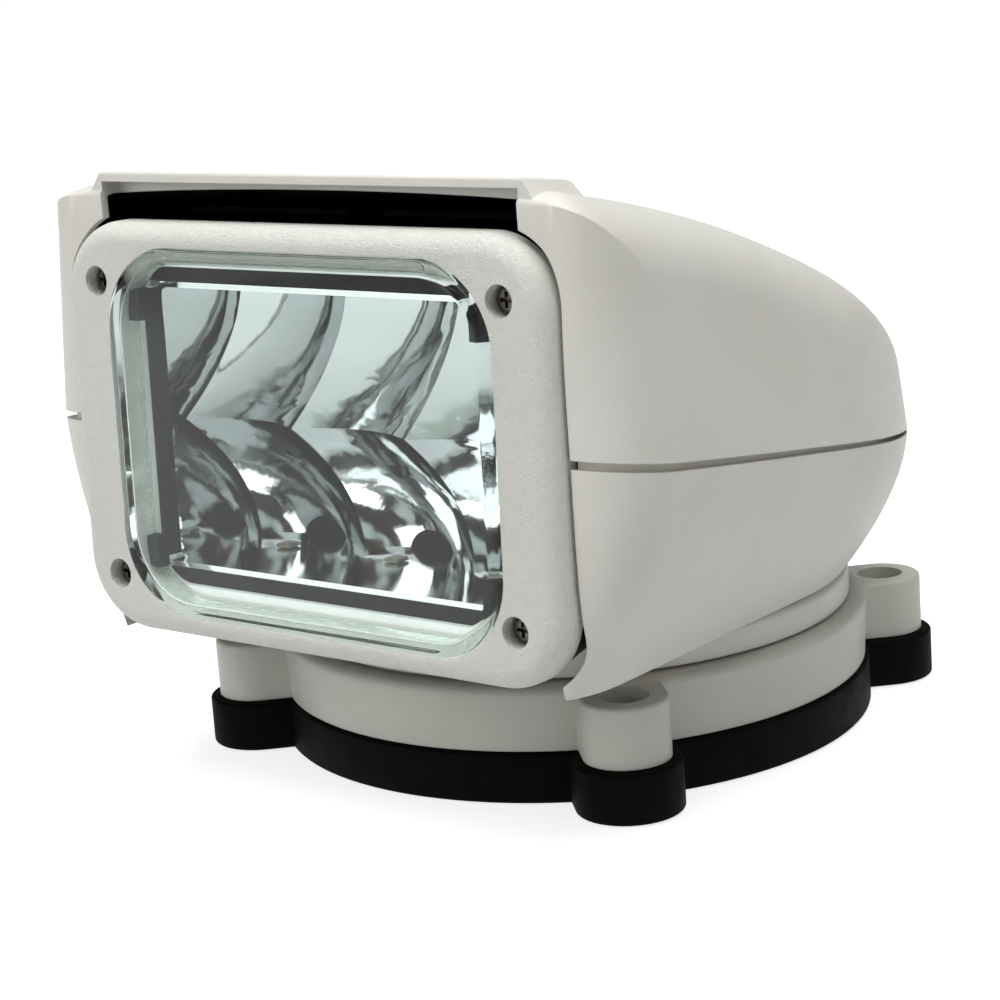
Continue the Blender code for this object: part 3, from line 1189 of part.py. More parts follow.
def lamp_housing():
    """The cast housing behind the bezel: flange, tub, and upright fins round the tilt axis."""
    cast = material("black_cast_aluminium", (0.015, 0.015, 0.016, 1.0), 0.55, 0.6)
    inset = FLANGE_INSET
    outline = rounded_rectangle(BEZEL_HALF_WIDTH - inset, BEZEL_HALF_HEIGHT - inset, BEZEL_CORNER - inset, 7)
    body = add("lamp_housing", prism(outline, FLANGE_FRONT, FLANGE_BACK, "Y"), cast)
    height = HOUSING_HALF_HEIGHT
    shoulder = sqrt(HOUSING_RADIUS ** 2 - height ** 2)
    tub = [(FLANGE_BACK - 0.002, -height), (shoulder, -height)]
    end = asin(HOUSING_BACK / HOUSING_RADIUS)
    start = asin(shoulder / HOUSING_RADIUS)
    tub += [(HOUSING_RADIUS * sin(a), -HOUSING_RADIUS * cos(a)) for a in np.linspace(start, end, 5)[1:]]
    tub += [(y, -z) for y, z in reversed(tub)]
    join(body, add("tub", prism(tub, -HOUSING_HALF_WIDTH, HOUSING_HALF_WIDTH, "X")))
    fin = [(HOUSING_BACK - 0.002, -HOUSING_RADIUS * cos(end) + 0.002)]
    fin += [(HOUSING_RADIUS * sin(a), -HOUSING_RADIUS * cos(a)) for a in np.linspace(end, pi - end, 11)]
    fin += [(HOUSING_BACK - 0.002, HOUSING_RADIUS * cos(end) - 0.002)]
    pitch = 2 * (HOUSING_HALF_WIDTH - FIN_THICKNESS / 2 - 0.002) / (FIN_COUNT - 1)
    for index in range(FIN_COUNT):
        x = (index - (FIN_COUNT - 1) / 2) * pitch
        join(body, add("fin", prism(fin, x - FIN_THICKNESS / 2, x + FIN_THICKNESS / 2, "X")))
    cavity = block((-HOUSING_CAVITY_X, FLANGE_FRONT - 0.01, -HOUSING_CAVITY_Z),
                   (HOUSING_CAVITY_X, HOUSING_CAVITY_BACK, HOUSING_CAVITY_Z))
    frame_half = CELL_SPAN + REFLECTOR_MARGIN + SEAT
    rebate = rounded_rectangle(frame_half, GLASS_HALF_HEIGHT - 0.0006 + SEAT, GLASS_CORNER + SEAT, 8)
    cut(body, add("rebate", prism(rebate, FLANGE_FRONT - 0.01, FRAME_BACK + SEAT, "Y")), add("cavity", cavity))
    for x, z in bezel_screw_places():
        cut(body, add("hole", rod((x, z), 0.0019, FLANGE_FRONT - 0.01, FLANGE_FRONT + 0.0070, "Y", 12)))
    return body


def tilt_pin(name, side):
    """A stub shaft on the side of the lamp housing."""
    steel = material("bright_steel", (0.5, 0.5, 0.5, 1.0), 0.35, 1.0)
    root = BEZEL_HALF_WIDTH - FLANGE_INSET + SEAT
    tip = SADDLE_INNER_X + TILT_PIN_LENGTH * 0.62 - 0.0006
    collar = SADDLE_INNER_X - RUN
    ends = sorted((side * root, side * tip))
    pin = add(name, rod((0, 0), TILT_PIN_RADIUS, ends[0], ends[1], "X", BOSS_SEGMENTS), steel)
    ends = sorted((side * root, side * collar))
    join(pin, add("collar", rod((0, 0), TILT_PIN_RADIUS + 0.0012, ends[0], ends[1], "X", BOSS_SEGMENTS)))
    return pin


def tilt_sector():
    """The toothed sector behind the lamp housing, in mesh with the tilt pinion."""
    nylon = material("white_nylon", (0.75, 0.74, 0.68, 1.0), 0.4)
    phase = TILT_PINION_ANGLE + REST_TILT
    count = SECTOR_BELOW + SECTOR_ABOVE + 1
    outline = gear_outline(SECTOR_TEETH, phase, -SECTOR_BELOW, count, HOUSING_RADIUS + SEAT)
    return add("tilt_sector", prism(outline, -SECTOR_WIDTH / 2, SECTOR_WIDTH / 2, "X"), nylon, 30.0)


def axis_marker(name, place, turn=0.0):
    """An empty on a joint's axis."""
    marker = bpy.data.objects.new(name, None)
    marker.location = place
    marker.rotation_euler = (turn, 0.0, 0.0)
    marker.empty_display_size = 0.02
    bpy.context.scene.collection.objects.link(marker)
    return marker


def carry(marker, pieces, built_in_place=True):
    """Hangs pieces on a joint's empty; pieces drawn about the axis itself keep their own origin."""
    for piece in pieces:
        piece.parent = marker
        if built_in_place:
            piece.data.transform(Matrix.Translation(-marker.location))


def build():
    """All pieces, each on the body that moves it."""
    for old in list(bpy.data.objects):
        bpy.data.objects.remove(old)

    base_gasket()
    base_housing()
    base_cover()
    cover_screws()
    pan_gear()
    thrust_washer()
    dirt_seal()

    pan = axis_marker("pan_axis", (0.0, 0.0, TURNTABLE_FOOT_Z))
    carry(pan, [turntable(), lower_shell(), upper_shell(), pan_spindle(), spindle_ring(), bay_liner(),
                drive_bracket(), pan_motor(), tilt_motor(), control_board(),
                tilt_bush("tilt_bush_right", 1), tilt_bush("tilt_bush_left", -1)] + head_screws() + shell_screws())
    pan_drive = axis_marker("pan_pinion_axis", (0.0, PAN_PINION_Y, TURNTABLE_FOOT_Z))
    carry(pan_drive, [pan_pinion()])
    tilt_drive = axis_marker("tilt_pinion_axis", (0.0, TILT_PINION_Y, TILT_PINION_Z))
    carry(tilt_drive, [tilt_pinion()])
    tilt = axis_marker("tilt_axis", (0.0, TILT_AXIS_Y, TILT_AXIS_Z), -REST_TILT)
    carry(tilt, [bezel(), glass_lens(), lens_seal(), reflector(), led_board("led_board_upper", 1),
                 led_board("led_board_lower", -1), lamp_housing(), tilt_pin("tilt_pin_right", 1),
                 tilt_pin("tilt_pin_left", -1), tilt_sector()] + bezel_screws() + lens_pads() + leds(), False)
    bpy.context.view_layer.update()


build()
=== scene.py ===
"""Looks of the marine searchlight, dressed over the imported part.

The shells, the lamp's front, the plinth, the gasket and the turntable get finer surfaces, close to
the forms of the solids. The hidden pieces keep their solids and get their own materials.
"""

import json
from math import acos, asin, atan, atan2, cos, hypot, pi, radians, sin, sqrt, tan

import bmesh
import bpy
import numpy as np
from mathutils import Matrix, Vector


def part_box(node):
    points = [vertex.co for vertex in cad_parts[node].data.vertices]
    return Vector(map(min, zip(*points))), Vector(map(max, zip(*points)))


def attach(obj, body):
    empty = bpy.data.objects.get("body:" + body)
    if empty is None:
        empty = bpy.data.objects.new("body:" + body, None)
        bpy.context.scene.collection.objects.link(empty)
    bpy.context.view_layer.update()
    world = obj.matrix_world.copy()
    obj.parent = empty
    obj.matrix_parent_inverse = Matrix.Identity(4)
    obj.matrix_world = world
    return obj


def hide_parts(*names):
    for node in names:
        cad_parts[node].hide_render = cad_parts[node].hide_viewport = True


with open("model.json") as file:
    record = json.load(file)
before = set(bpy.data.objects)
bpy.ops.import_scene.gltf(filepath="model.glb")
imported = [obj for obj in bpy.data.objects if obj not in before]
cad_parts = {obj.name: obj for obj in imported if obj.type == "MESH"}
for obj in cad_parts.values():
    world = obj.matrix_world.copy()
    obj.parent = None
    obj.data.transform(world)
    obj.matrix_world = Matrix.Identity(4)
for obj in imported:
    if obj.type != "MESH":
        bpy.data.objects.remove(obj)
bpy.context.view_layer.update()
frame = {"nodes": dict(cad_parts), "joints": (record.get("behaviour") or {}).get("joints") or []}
nodes = frame["nodes"]
joints = {joint["name"]: joint for joint in frame["joints"]}

CORNERS = (-1, -1), (1, -1), (1, 1), (-1, 1)
PASS = 0.0100                   # how far a cutter runs past what it cuts
CUTTER_REACH = 0.0200           # how far the opening's cutter runs past the head
BOARD_STANDOFF = 0.0003         # the control board stands this far above the head's floor

# Places read from the frame
TILT_AXIS_Y, TILT_AXIS_Z = joints["tilt"]["pos_m"][1:]
GASKET_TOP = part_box("base_gasket")[1][2]
PLINTH_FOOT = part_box("base_housing")[0][2]
TURNTABLE_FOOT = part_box("turntable")[0][2]
PLATFORM_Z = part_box("turntable")[1][2]
FLOOR_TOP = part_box("control_board")[0][2] - BOARD_STANDOFF

# Head form. Opening, slot, bridge and the rim's front corner differ a little from the solids.
SHELL_WALL = 0.0026
HEAD_FRONT_Y = -0.1123
HEAD_HALF_WIDTH = 0.1089
FACE_HALF_WIDTH = 0.0900
FACE_ROUND_DEPTH = 0.0190
FACE_LEAN = -0.009
CROWN_CENTRE_Y = -0.0045
REAR_LENGTH = 0.1031
ROOF_FRONT_Z = 0.1793
ROOF_CENTRE_Z = 0.1498
ROOF_FRONT_SLOPE = 0.166
NOSE_DROP = 0.0045
NOSE_LENGTH = 0.0124
CROWN_DROP = 0.0043
REAR_DROP = 0.0563
REAR_SLOPE = 0.776
REAR_ROUND = 0.0200
SHOULDER_FRONT = 0.0235
SHOULDER_CENTRE = 0.0305
SIDE_DRAFT = radians(6.15)
SPLIT_FRONT_Z = 0.1094
SPLIT_REAR_Z = 0.0800
SPLIT_SAG = 0.0010
SPLIT_REVEAL_FRONT = 0.0023
SPLIT_REVEAL_REAR = 0.0009
TONGUE_HEIGHT = 0.0020
TONGUE_GAP = 0.0005
TONGUE_WALL = 0.0013
TONGUE_FOOT = 0.0060
TONGUE_ROOT = 0.0085
SPINDLE_HOLE_RADIUS = 0.0223
RIM_Z = 0.0450
RIM_REAR_RISE = 0.0022
RIM_HALF_WIDTH = 0.0865
RIM_CORNER = 0.40               # the rim follows the rounded front corner by this share
RIM_REAR_Y = 0.0841
FLANK_BULGE = 1.71
FLOOR_THICKNESS = 0.0025
FLOOR_FRONT_Y = -0.0760
OPENING_HALF_WIDTH = 0.0888
OPENING_HALF_HEIGHT = 0.0614
OPENING_UPPER_ROUND = 0.0206
OPENING_LOWER_ROUND = 0.0180
OPENING_FOOT_HALF = 0.0815
SLOT_HALF_WIDTH = 0.0752
SLOT_TOP_Z = 0.1772
OPENING_DEPTH = 0.0085
BAY_FRONT_Y = -0.1000
FACE_DISH = 0.0030              # how far the face is set back beside the slot
DISH_X = (0.082, 0.085, 0.088, 0.091, 0.094)
DISH_Z = (0.130, 0.137, 0.144, 0.151, 0.158, 0.166)
DISH_FRONT_Y = -0.108
DISH_REAR_Y = -0.098
BRIDGE_FRONT_Y = -0.1120
BRIDGE_HALF_WIDTH = 0.0805
BRIDGE_TOP_Z = 0.1801
BRIDGE_SLOPE = 0.136
BRIDGE_DEPTH = 0.0237
BRIDGE_END_SLANT = 0.0042
BRIDGE_ROUND = 0.0012
HEAD_REAR_Y = CROWN_CENTRE_Y + REAR_LENGTH
FLOOR_Z = FLOOR_TOP - FLOOR_THICKNESS

# Lamp, measured from the tilt axis, forward is -Y
REST_TILT = radians(1.66)
BEZEL_FACE = -0.0171
BEZEL_BACK = -0.0071
BEZEL_HALF_WIDTH = 0.0876
BEZEL_HALF_HEIGHT = 0.0596
BEZEL_CORNER = 0.0218
BEZEL_ROUND = 0.0058
BEZEL_SCREW_X = 0.0730
BEZEL_SCREW_Z = 0.0428
BEZEL_SINK_RADIUS = 0.0043
BEZEL_SINK_DEPTH = 0.0060
BEZEL_HOLE_RADIUS = 0.0020
LENS_GAP = 0.0002
GLASS_CENTRE_X = 0.0007
GLASS_HALF_WIDTH = 0.0690
GLASS_HALF_HEIGHT = 0.0527
GLASS_CORNER = 0.0240
GLASS_WALL = 0.0032
GLASS_ROUND = 0.0024
GLASS_INNER_ROUND = 0.0016
GLASS_FACE = -0.0196
GLASS_BACK = -0.0081

# Pads and reflector, in the lamp's axes
PAD_X = 0.0622
PAD_Z = 0.0360
PAD_HALF_WIDTH = 0.0022
PAD_HALF_HEIGHT = 0.0046
PAD_FRONT = -0.0125
PAD_ROUND = 0.0004
CELL_WIDTH = 0.0420
CELL_HEIGHT = 0.0430
CELL_FOCUS = 0.0165
CELL_COUNT = 3
CELL_SPAN = CELL_WIDTH * CELL_COUNT / 2
CELL_SET_BACK = 0.0050          # from the frame to the cells' inner ends
CELL_WALL = 0.0018
FRAME_FRONT = -0.0065
FRAME_BACK = 0.0001
FRAME_MARGIN = 0.0066
FRAME_EDGE_GAP = 0.0006
RECESS_MARGIN = 0.0035          # the recess before the cells, and the thin plate at its bottom
RECESS_CORNER = 0.0120
PLATE_MARGIN = 0.0045
PLATE_CORNER = 0.0130
PLATE_THICKNESS = 0.0010
APERTURE_SIDE_LAP = 0.0003
APERTURE_TOP_LAP = 0.0005
APERTURE_CORNER = 0.0060
CHEEK_LAP = 0.0003

# Bezel screws, from the seat at the bottom of their holes
SCREW_CLEARANCE = 0.0003
SCREW_HEAD_RADIUS = 0.0036
SCREW_HEAD_HEIGHT = 0.0024
SCREW_HEAD_ROUND = 0.0009
CROSS_REACH = 0.0021
CROSS_HALF_WIDTH = 0.00055
CROSS_FLOOR = 0.0011
CROSS_TOP = 0.0040
SHANK_RADIUS = 0.0016
SHANK_LENGTH = 0.0090
SHANK_LAP = 0.0008

# Base and turntable
BOSS_SPACING = 0.1394
BOSS_PLACES = [(sx * BOSS_SPACING / 2, sy * BOSS_SPACING / 2) for sx, sy in CORNERS]
BOSS_ROOT_SHARE = 0.85          # how deep a boss reaches into the plinth's wall
BOSS_RADIUS = 0.0125
BOSS_HEIGHT = 0.0176
BOSS_ROUND = 0.0012
BOSS_SINK_RADIUS = 0.0070
BOSS_SINK_DEPTH = 0.0090
FIXING_HOLE_RADIUS = 0.0036
GASKET_RADIUS = 0.0915
GASKET_LOBE = 0.0155
GASKET_ROUND = 0.0010
GASKET_OPENING_RADIUS = 0.0620
PLINTH_RADIUS = 0.0910
PLINTH_HEIGHT = 0.0192
PLINTH_WALL = 0.0035
PLINTH_ROUND = 0.0030
PLINTH_BORE_RADIUS = 0.0230
PLINTH_FOOT_INSET = 0.0008
LEDGE_WIDTH = 0.0030
LEDGE_HEIGHT = 0.0031
TURNTABLE_RADIUS = 0.0860
TURNTABLE_HEIGHT = 0.0087
TURNTABLE_WALL = 0.0035
TURNTABLE_ROOF = 0.0026
TURNTABLE_ROUND = 0.0022
PLATFORM_RADIUS = 0.0745
TURNTABLE_BORE_RADIUS = 0.0143
SPINDLE_SEAT_RADIUS = 0.0228
SPINDLE_SEAT_DEPTH = 0.0009

# Camera: the photograph's station point and angle
CAMERA_PLACE = (0.4677, -0.6079, 0.2461)
CAMERA_AZIMUTH = radians(39.07)
CAMERA_ELEVATION = radians(13.13)
CAMERA_ROLL = radians(-4.04)
CAMERA_LENS = 91.66
SENSOR = 36.0

# Stage: the floor glows where it is seen, a little less near the object than far away
FLOOR_HALF_SIZE = 6.0
FLOOR_DROP = 0.0004
FLOOR_GREY = (0.55, 0.55, 0.55)
FLOOR_GLOW = 0.76
GLOW_NEAR = 0.3
GLOW_FAR = 1.2
AMBIENT = 0.18
ROOM_SCALE = 3.4
ROOM_STOPS = [(0.46, (0.018, 0.012, 0.008)), (0.53, (0.090, 0.055, 0.035)),
              (0.54, (0.34, 0.39, 0.40)), (0.62, (0.75, 0.80, 0.80))]
LIGHT_TARGET = (0.0, 0.0, 0.1)

# Resolution of the fine surfaces
CORNER_STATIONS = 10
SIDE_STATIONS = 34
REAR_STATIONS = 28
SECTION_STEPS = (5, 16, 14)
CELL_STEPS_ACROSS = 40
CELL_STEPS_UP = 36
SHARP_ANGLE = 35.0              # an edge between faces that turn by more stays crisp
CREST_ANGLE = 14.0              # the same, between the reflector's cells


class Surface:
    """A Principled material with short calls for the nodes that it needs."""

    def __init__(self, name, colour, roughness, metallic=0.0):
        self.material = bpy.data.materials.new(name)
        self.material.use_nodes = True
        self.tree = self.material.node_tree
        self.shader = self.tree.nodes["Principled BSDF"]
        self.set("Base Color", (*colour, 1.0))
        self.set("Roughness", roughness)
        self.set("Metallic", metallic)
        self.place = self.node("ShaderNodeTexCoord").outputs["Object"]
        self.relief = None

    def node(self, kind, **values):
        made = self.tree.nodes.new(kind)
        for key, value in values.items():
            if hasattr(made, key):
                setattr(made, key, value)
            else:
                made.inputs[key.replace("_", " ").title()].default_value = value
        return made

    def link(self, source, target):
        self.tree.links.new(source, target)

    def set(self, socket, value):
        self.shader.inputs[socket].default_value = value

    def noise(self, scale, detail=3.0, roughness=0.5, distortion=0.0):
        made = self.node("ShaderNodeTexNoise", scale=scale, detail=detail, roughness=roughness,
                         distortion=distortion)
        self.link(self.place, made.inputs["Vector"])
        return made.outputs["Fac"]

    def ramp(self, source, stops):
        made = self.node("ShaderNodeValToRGB")
        ramp = made.color_ramp
        while len(ramp.elements) < len(stops):
            ramp.elements.new(0.5)
        for element, (position, value) in zip(ramp.elements, stops):
            element.position = position
            element.color = (*value, 1.0) if isinstance(value, tuple) else (value, value, value, 1.0)
        self.link(source, made.inputs["Fac"])
        return made.outputs["Color"]

    def span(self, source, low, high):
        made = self.node("ShaderNodeMapRange")
        made.inputs["To Min"].default_value = low
        made.inputs["To Max"].default_value = high
        self.link(source, made.inputs["Value"])
        return made.outputs["Result"]

    def mix(self, fac, one, two):
        """Blends two colours by a factor; each of the three is a value or a socket."""
        made = self.node("ShaderNodeMix", data_type="RGBA")
        given = (made.inputs["Factor"], fac), (made.inputs[6], one), (made.inputs[7], two)
        for socket, value in given:
            if isinstance(value, bpy.types.NodeSocket):
                self.link(value, socket)
            elif isinstance(value, tuple):
                socket.default_value = (*value, 1.0)
            else:
                socket.default_value = value
        return made.outputs[2]

    def bump(self, height, depth, strength=1.0):
        made = self.node("ShaderNodeBump", distance=depth, strength=strength)
        self.link(height, made.inputs["Height"])
        if self.relief:
            self.link(self.relief, made.inputs["Normal"])
        self.relief = made.outputs["Normal"]
        self.link(self.relief, self.shader.inputs["Normal"])

    def round_edges(self, radius):
        made = self.node("ShaderNodeBevel", radius=radius, samples=6)
        self.relief = made.outputs["Normal"]
        self.link(self.relief, self.shader.inputs["Normal"])

    def colour(self, source):
        self.link(source, self.shader.inputs["Base Color"])

    def roughness(self, source):
        self.link(source, self.shader.inputs["Roughness"])


# Colours of the white and black mouldings, matched to the photograph
WHITE = (0.74, 0.725, 0.665)
WARM = (0.70, 0.68, 0.61)
# The base's two colours are the white plastic made darker: painted shade, for the head's shade on the
# base.
SHADED_BASE_WHITE = (0.62, 0.61, 0.55)
SHADED_BASE_WARM = (0.58, 0.565, 0.50)
BEZEL_WHITE = (0.77, 0.765, 0.71)
BEZEL_WARM = (0.735, 0.73, 0.67)
SPECK = (0.42, 0.39, 0.33)
DEEP_BLACK = (0.004, 0.004, 0.004)


def white_plastic(name, base, warm, grain_depth):
    """Off-white moulded plastic: a fine spark-eroded grain, faint mottling and a few specks."""
    made = Surface(name, base, 0.42)
    made.round_edges(0.0005)
    mottle = made.noise(28.0, 4.0, 0.55)
    tone = made.mix(made.ramp(mottle, [(0.35, 0.0), (0.7, 1.0)]), base, warm)
    specks = made.ramp(made.noise(520.0, 2.0, 0.6), [(0.735, 0.0), (0.78, 0.35)])
    made.colour(made.mix(specks, tone, SPECK))
    made.roughness(made.span(made.noise(95.0, 3.0), 0.36, 0.52))
    made.bump(made.noise(2100.0, 3.0, 0.6), grain_depth)
    made.bump(made.noise(160.0, 2.0), 0.00006)
    return made


def leather_plastic():
    """The bezel's plastic, with a fine leather grain of soft wrinkles."""
    made = Surface("bezel_leather_grain", WHITE, 0.5)
    made.round_edges(0.0004)
    mottle = made.noise(30.0, 4.0, 0.5)
    made.colour(made.mix(made.ramp(mottle, [(0.3, 0.0), (0.75, 1.0)]), BEZEL_WHITE, BEZEL_WARM))
    made.roughness(made.span(made.noise(700.0, 2.0), 0.42, 0.6))
    made.bump(made.noise(1050.0, 2.0, 0.5, 1.6), 0.0005, 1.0)
    made.bump(made.noise(480.0, 2.0, 0.5, 1.0), 0.0004, 0.5)
    return made


def rubber(name="gasket_rubber", tone=0.0022):
    """Black moulded rubber with a dusty bloom."""
    made = Surface(name, (tone, tone, tone * 1.1), 0.62)
    made.set("Specular IOR Level", 0.05)
    dust = made.ramp(made.noise(60.0, 5.0, 0.65), [(0.45, 0.0), (0.8, 1.0)])
    made.colour(made.mix(dust, (tone, tone, tone * 1.1), (tone * 1.6, tone * 1.6, tone * 1.7)))
    made.roughness(made.span(made.noise(140.0, 3.0), 0.5, 0.75))
    made.bump(made.noise(900.0, 3.0, 0.6), 0.00006)
    return made


def glass():
    """Clear pressed glass with a green edge."""
    made = Surface("lens_glass", (0.93, 0.985, 0.965), 0.0)
    made.set("Transmission Weight", 1.0)
    made.set("IOR", 1.3)
    made.bump(made.noise(55.0, 2.0, 0.4), 0.00005, 0.35)
    tree = made.tree
    output = tree.nodes["Material Output"]
    path = made.node("ShaderNodeLightPath")
    clear = made.node("ShaderNodeBsdfTransparent")
    clear.inputs["Color"].default_value = (0.93, 0.96, 0.95, 1.0)
    switch = made.node("ShaderNodeMixShader")
    made.link(path.outputs["Is Shadow Ray"], switch.inputs["Fac"])
    made.link(made.shader.outputs["BSDF"], switch.inputs[1])
    made.link(clear.outputs["BSDF"], switch.inputs[2])
    made.link(switch.outputs["Shader"], output.inputs["Surface"])
    return made


def mirror():
    """Vacuum-metallised reflector: bright, with faint moulding waves."""
    made = Surface("reflector_chrome", (0.66, 0.68, 0.685), 0.03, 1.0)
    haze = made.noise(130.0, 3.0)
    made.roughness(made.span(haze, 0.02, 0.07))
    made.bump(made.noise(70.0, 2.0, 0.5, 0.4), 0.0006, 0.5)
    return made


def metal(name, colour, roughness, scratches=400.0):
    """Bare metal with fine turning marks."""
    made = Surface(name, colour, roughness, 1.0)
    made.roughness(made.span(made.noise(scratches, 3.0), roughness * 0.8, min(1.0, roughness * 1.4)))
    made.bump(made.noise(scratches * 3, 2.0), 0.00002)
    return made


def dull(name, colour, roughness, grain=600.0):
    """Plain plastic or coated casting with a fine grain."""
    made = Surface(name, colour, roughness)
    if max(colour) < 0.02:
        made.set("Specular IOR Level", 0.15)
    lighter = tuple(min(1.0, c * 1.25 + 0.002) for c in colour)
    made.colour(made.mix(made.noise(50.0, 4.0), colour, lighter))
    made.roughness(made.span(made.noise(120.0), roughness * 0.85, min(1.0, roughness * 1.2)))
    made.bump(made.noise(grain, 3.0), 0.00005)
    return made


def object_from(name, bm, surface, sharp=SHARP_ANGLE):
    """An object from a bmesh, faces outward, smooth up to an angle."""
    bmesh.ops.remove_doubles(bm, verts=bm.verts, dist=1e-7)
    bmesh.ops.recalc_face_normals(bm, faces=bm.faces)
    mesh = bpy.data.meshes.new(name)
    bm.to_mesh(mesh)
    bm.free()
    mesh.shade_smooth()
    mesh.set_sharp_from_angle(angle=radians(sharp))
    made = bpy.data.objects.new(name, mesh)
    bpy.context.scene.collection.objects.link(made)
    if surface:
        mesh.materials.append(surface.material)
    return made


def combine(target, tool, operation):
    """Cuts, joins or trims the target with a tool that is used up."""
    step = target.modifiers.new(operation.lower(), "BOOLEAN")
    step.operation = operation
    step.solver = "EXACT"
    step.object = tool
    bpy.context.view_layer.update()
    graph = bpy.context.evaluated_depsgraph_get()
    mesh = bpy.data.meshes.new_from_object(target.evaluated_get(graph))
    target.modifiers.remove(step)
    target.data = mesh
    bpy.data.objects.remove(tool)
    mesh.shade_smooth()
    mesh.set_sharp_from_angle(angle=radians(SHARP_ANGLE))
    return target


def cut(target, *tools):
    """Takes the tools away from the target, one after the other."""
    for tool in tools:
        combine(target, tool, "DIFFERENCE")
    return target


def join(target, *tools):
    """Adds the tools to the target."""
    for tool in tools:
        combine(target, tool, "UNION")
    return target


def arc(centre, radius, start, end, count):
    """Points along an arc, both ends included."""
    turn = np.linspace(start, end, count)
    return [(centre[0] + radius * cos(a), centre[1] + radius * sin(a)) for a in turn]


def rounded_rectangle(half_width, half_height, corner, count=17):
    """Outline of a rectangle with round corners."""
    points = []
    for sx, sy, start in ((1, -1, -pi / 2), (1, 1, 0.0), (-1, 1, pi / 2), (-1, -1, pi)):
        centre = sx * (half_width - corner), sy * (half_height - corner)
        points += arc(centre, corner, start, start + pi / 2, count)
    return points


def lies_at(edge, index, level):
    """Whether an edge lies in a plane across one axis."""
    return all(abs(vert.co[index] - level) < 1e-7 for vert in edge.verts)


def prism(outline, low, high, axis="Z", rounding=0.0, steps=6, round_low=False, round_high=True):
    """A plate or block with the given outline, extruded along an axis, its edges rounded."""
    bm = bmesh.new()
    lift = {"Z": lambda u, v, w: (u, v, w),
            "Y": lambda u, v, w: (u, w, v),
            "X": lambda u, v, w: (w, u, v)}[axis]
    bottom = bm.faces.new([bm.verts.new(lift(u, v, low)) for u, v in outline])
    grown = bmesh.ops.extrude_face_region(bm, geom=[bottom])["geom"]
    top = [item for item in grown if isinstance(item, bmesh.types.BMVert)]
    shift = Vector(lift(0.0, 0.0, high)) - Vector(lift(0.0, 0.0, low))
    bmesh.ops.translate(bm, verts=top, vec=shift)
    bmesh.ops.recalc_face_normals(bm, faces=bm.faces)
    if rounding:
        index = {"X": 0, "Y": 1, "Z": 2}[axis]
        levels = [level for level, wanted in ((low, round_low), (high, round_high)) if wanted]
        edges = [edge for edge in bm.edges if any(lies_at(edge, index, level) for level in levels)]
        bmesh.ops.bevel(bm, geom=edges, offset=rounding, segments=steps, profile=0.5, affect="EDGES")
    return bm


def rod(centre, radius, low, high, axis="Z", segments=48):
    """A round bar along an axis."""
    turn = np.linspace(0.0, 2 * pi, segments, endpoint=False)
    outline = [(centre[0] + radius * cos(a), centre[1] + radius * sin(a)) for a in turn]
    return prism(outline, low, high, axis)


def turned(profile, segments=160):
    """A closed profile of radius and height, spun about the pan axis."""
    bm = bmesh.new()
    verts = [bm.verts.new((radius, 0.0, height)) for radius, height in profile]
    edges = [bm.edges.new(pair) for pair in zip(verts, verts[1:] + verts[:1])]
    bmesh.ops.spin(bm, geom=verts + edges, cent=(0, 0, 0), axis=(0, 0, 1), angle=2 * pi, steps=segments,
                   use_merge=True)
    return bm


def split_z(y):
    """Height of the split line."""
    share = (y - HEAD_FRONT_Y) / (HEAD_REAR_Y - HEAD_FRONT_Y)
    return SPLIT_FRONT_Z + (SPLIT_REAR_Z - SPLIT_FRONT_Z) * share - 4 * SPLIT_SAG * share * (1 - share)


def split_reveal(y):
    """Height of the open groove below the split line."""
    share = (y - HEAD_FRONT_Y) / (HEAD_REAR_Y - HEAD_FRONT_Y)
    return SPLIT_REVEAL_FRONT + (SPLIT_REVEAL_REAR - SPLIT_REVEAL_FRONT) * share


def roof_bend():
    """How fast the roof's fall grows towards the rear."""
    run = CROWN_CENTRE_Y - HEAD_FRONT_Y
    return (ROOF_FRONT_Z - ROOF_CENTRE_Z - ROOF_FRONT_SLOPE * run) / run ** 2


def roof_z(y):
    """Height of the roof's ridge, from its rounded front edge to the dome's centre."""
    back = y - HEAD_FRONT_Y
    ahead = max(0.0, 1 - max(back, 0.0) / NOSE_LENGTH)
    nose = NOSE_DROP * (1 - sqrt(1 - ahead * ahead))
    return ROOF_FRONT_Z - nose - ROOF_FRONT_SLOPE * back - roof_bend() * back ** 2


def roof_slope(y):
    """Fall of the ridge at a station."""
    return ROOF_FRONT_SLOPE + 2 * roof_bend() * (y - HEAD_FRONT_Y)


def half_width(y, inset):
    """Half width of the head at the split line."""
    full = HEAD_HALF_WIDTH - inset
    corner_end = HEAD_FRONT_Y + FACE_ROUND_DEPTH
    if y >= corner_end:
        return full
    share = (corner_end - y) / (FACE_ROUND_DEPTH - inset)
    return FACE_HALF_WIDTH + (full - FACE_HALF_WIDTH) * sqrt(max(0.0, 1 - share * share))


def stations(inset):
    """Places along the side, from the face to the dome's centre."""
    front = HEAD_FRONT_Y + inset
    corner_end = HEAD_FRONT_Y + FACE_ROUND_DEPTH
    turns = np.linspace(0, pi / 2, CORNER_STATIONS + 1)[:-1]
    near = [corner_end - (corner_end - front) * cos(a) for a in turns]
    return near + list(np.linspace(corner_end, CROWN_CENTRE_Y, SIDE_STATIONS + 1))


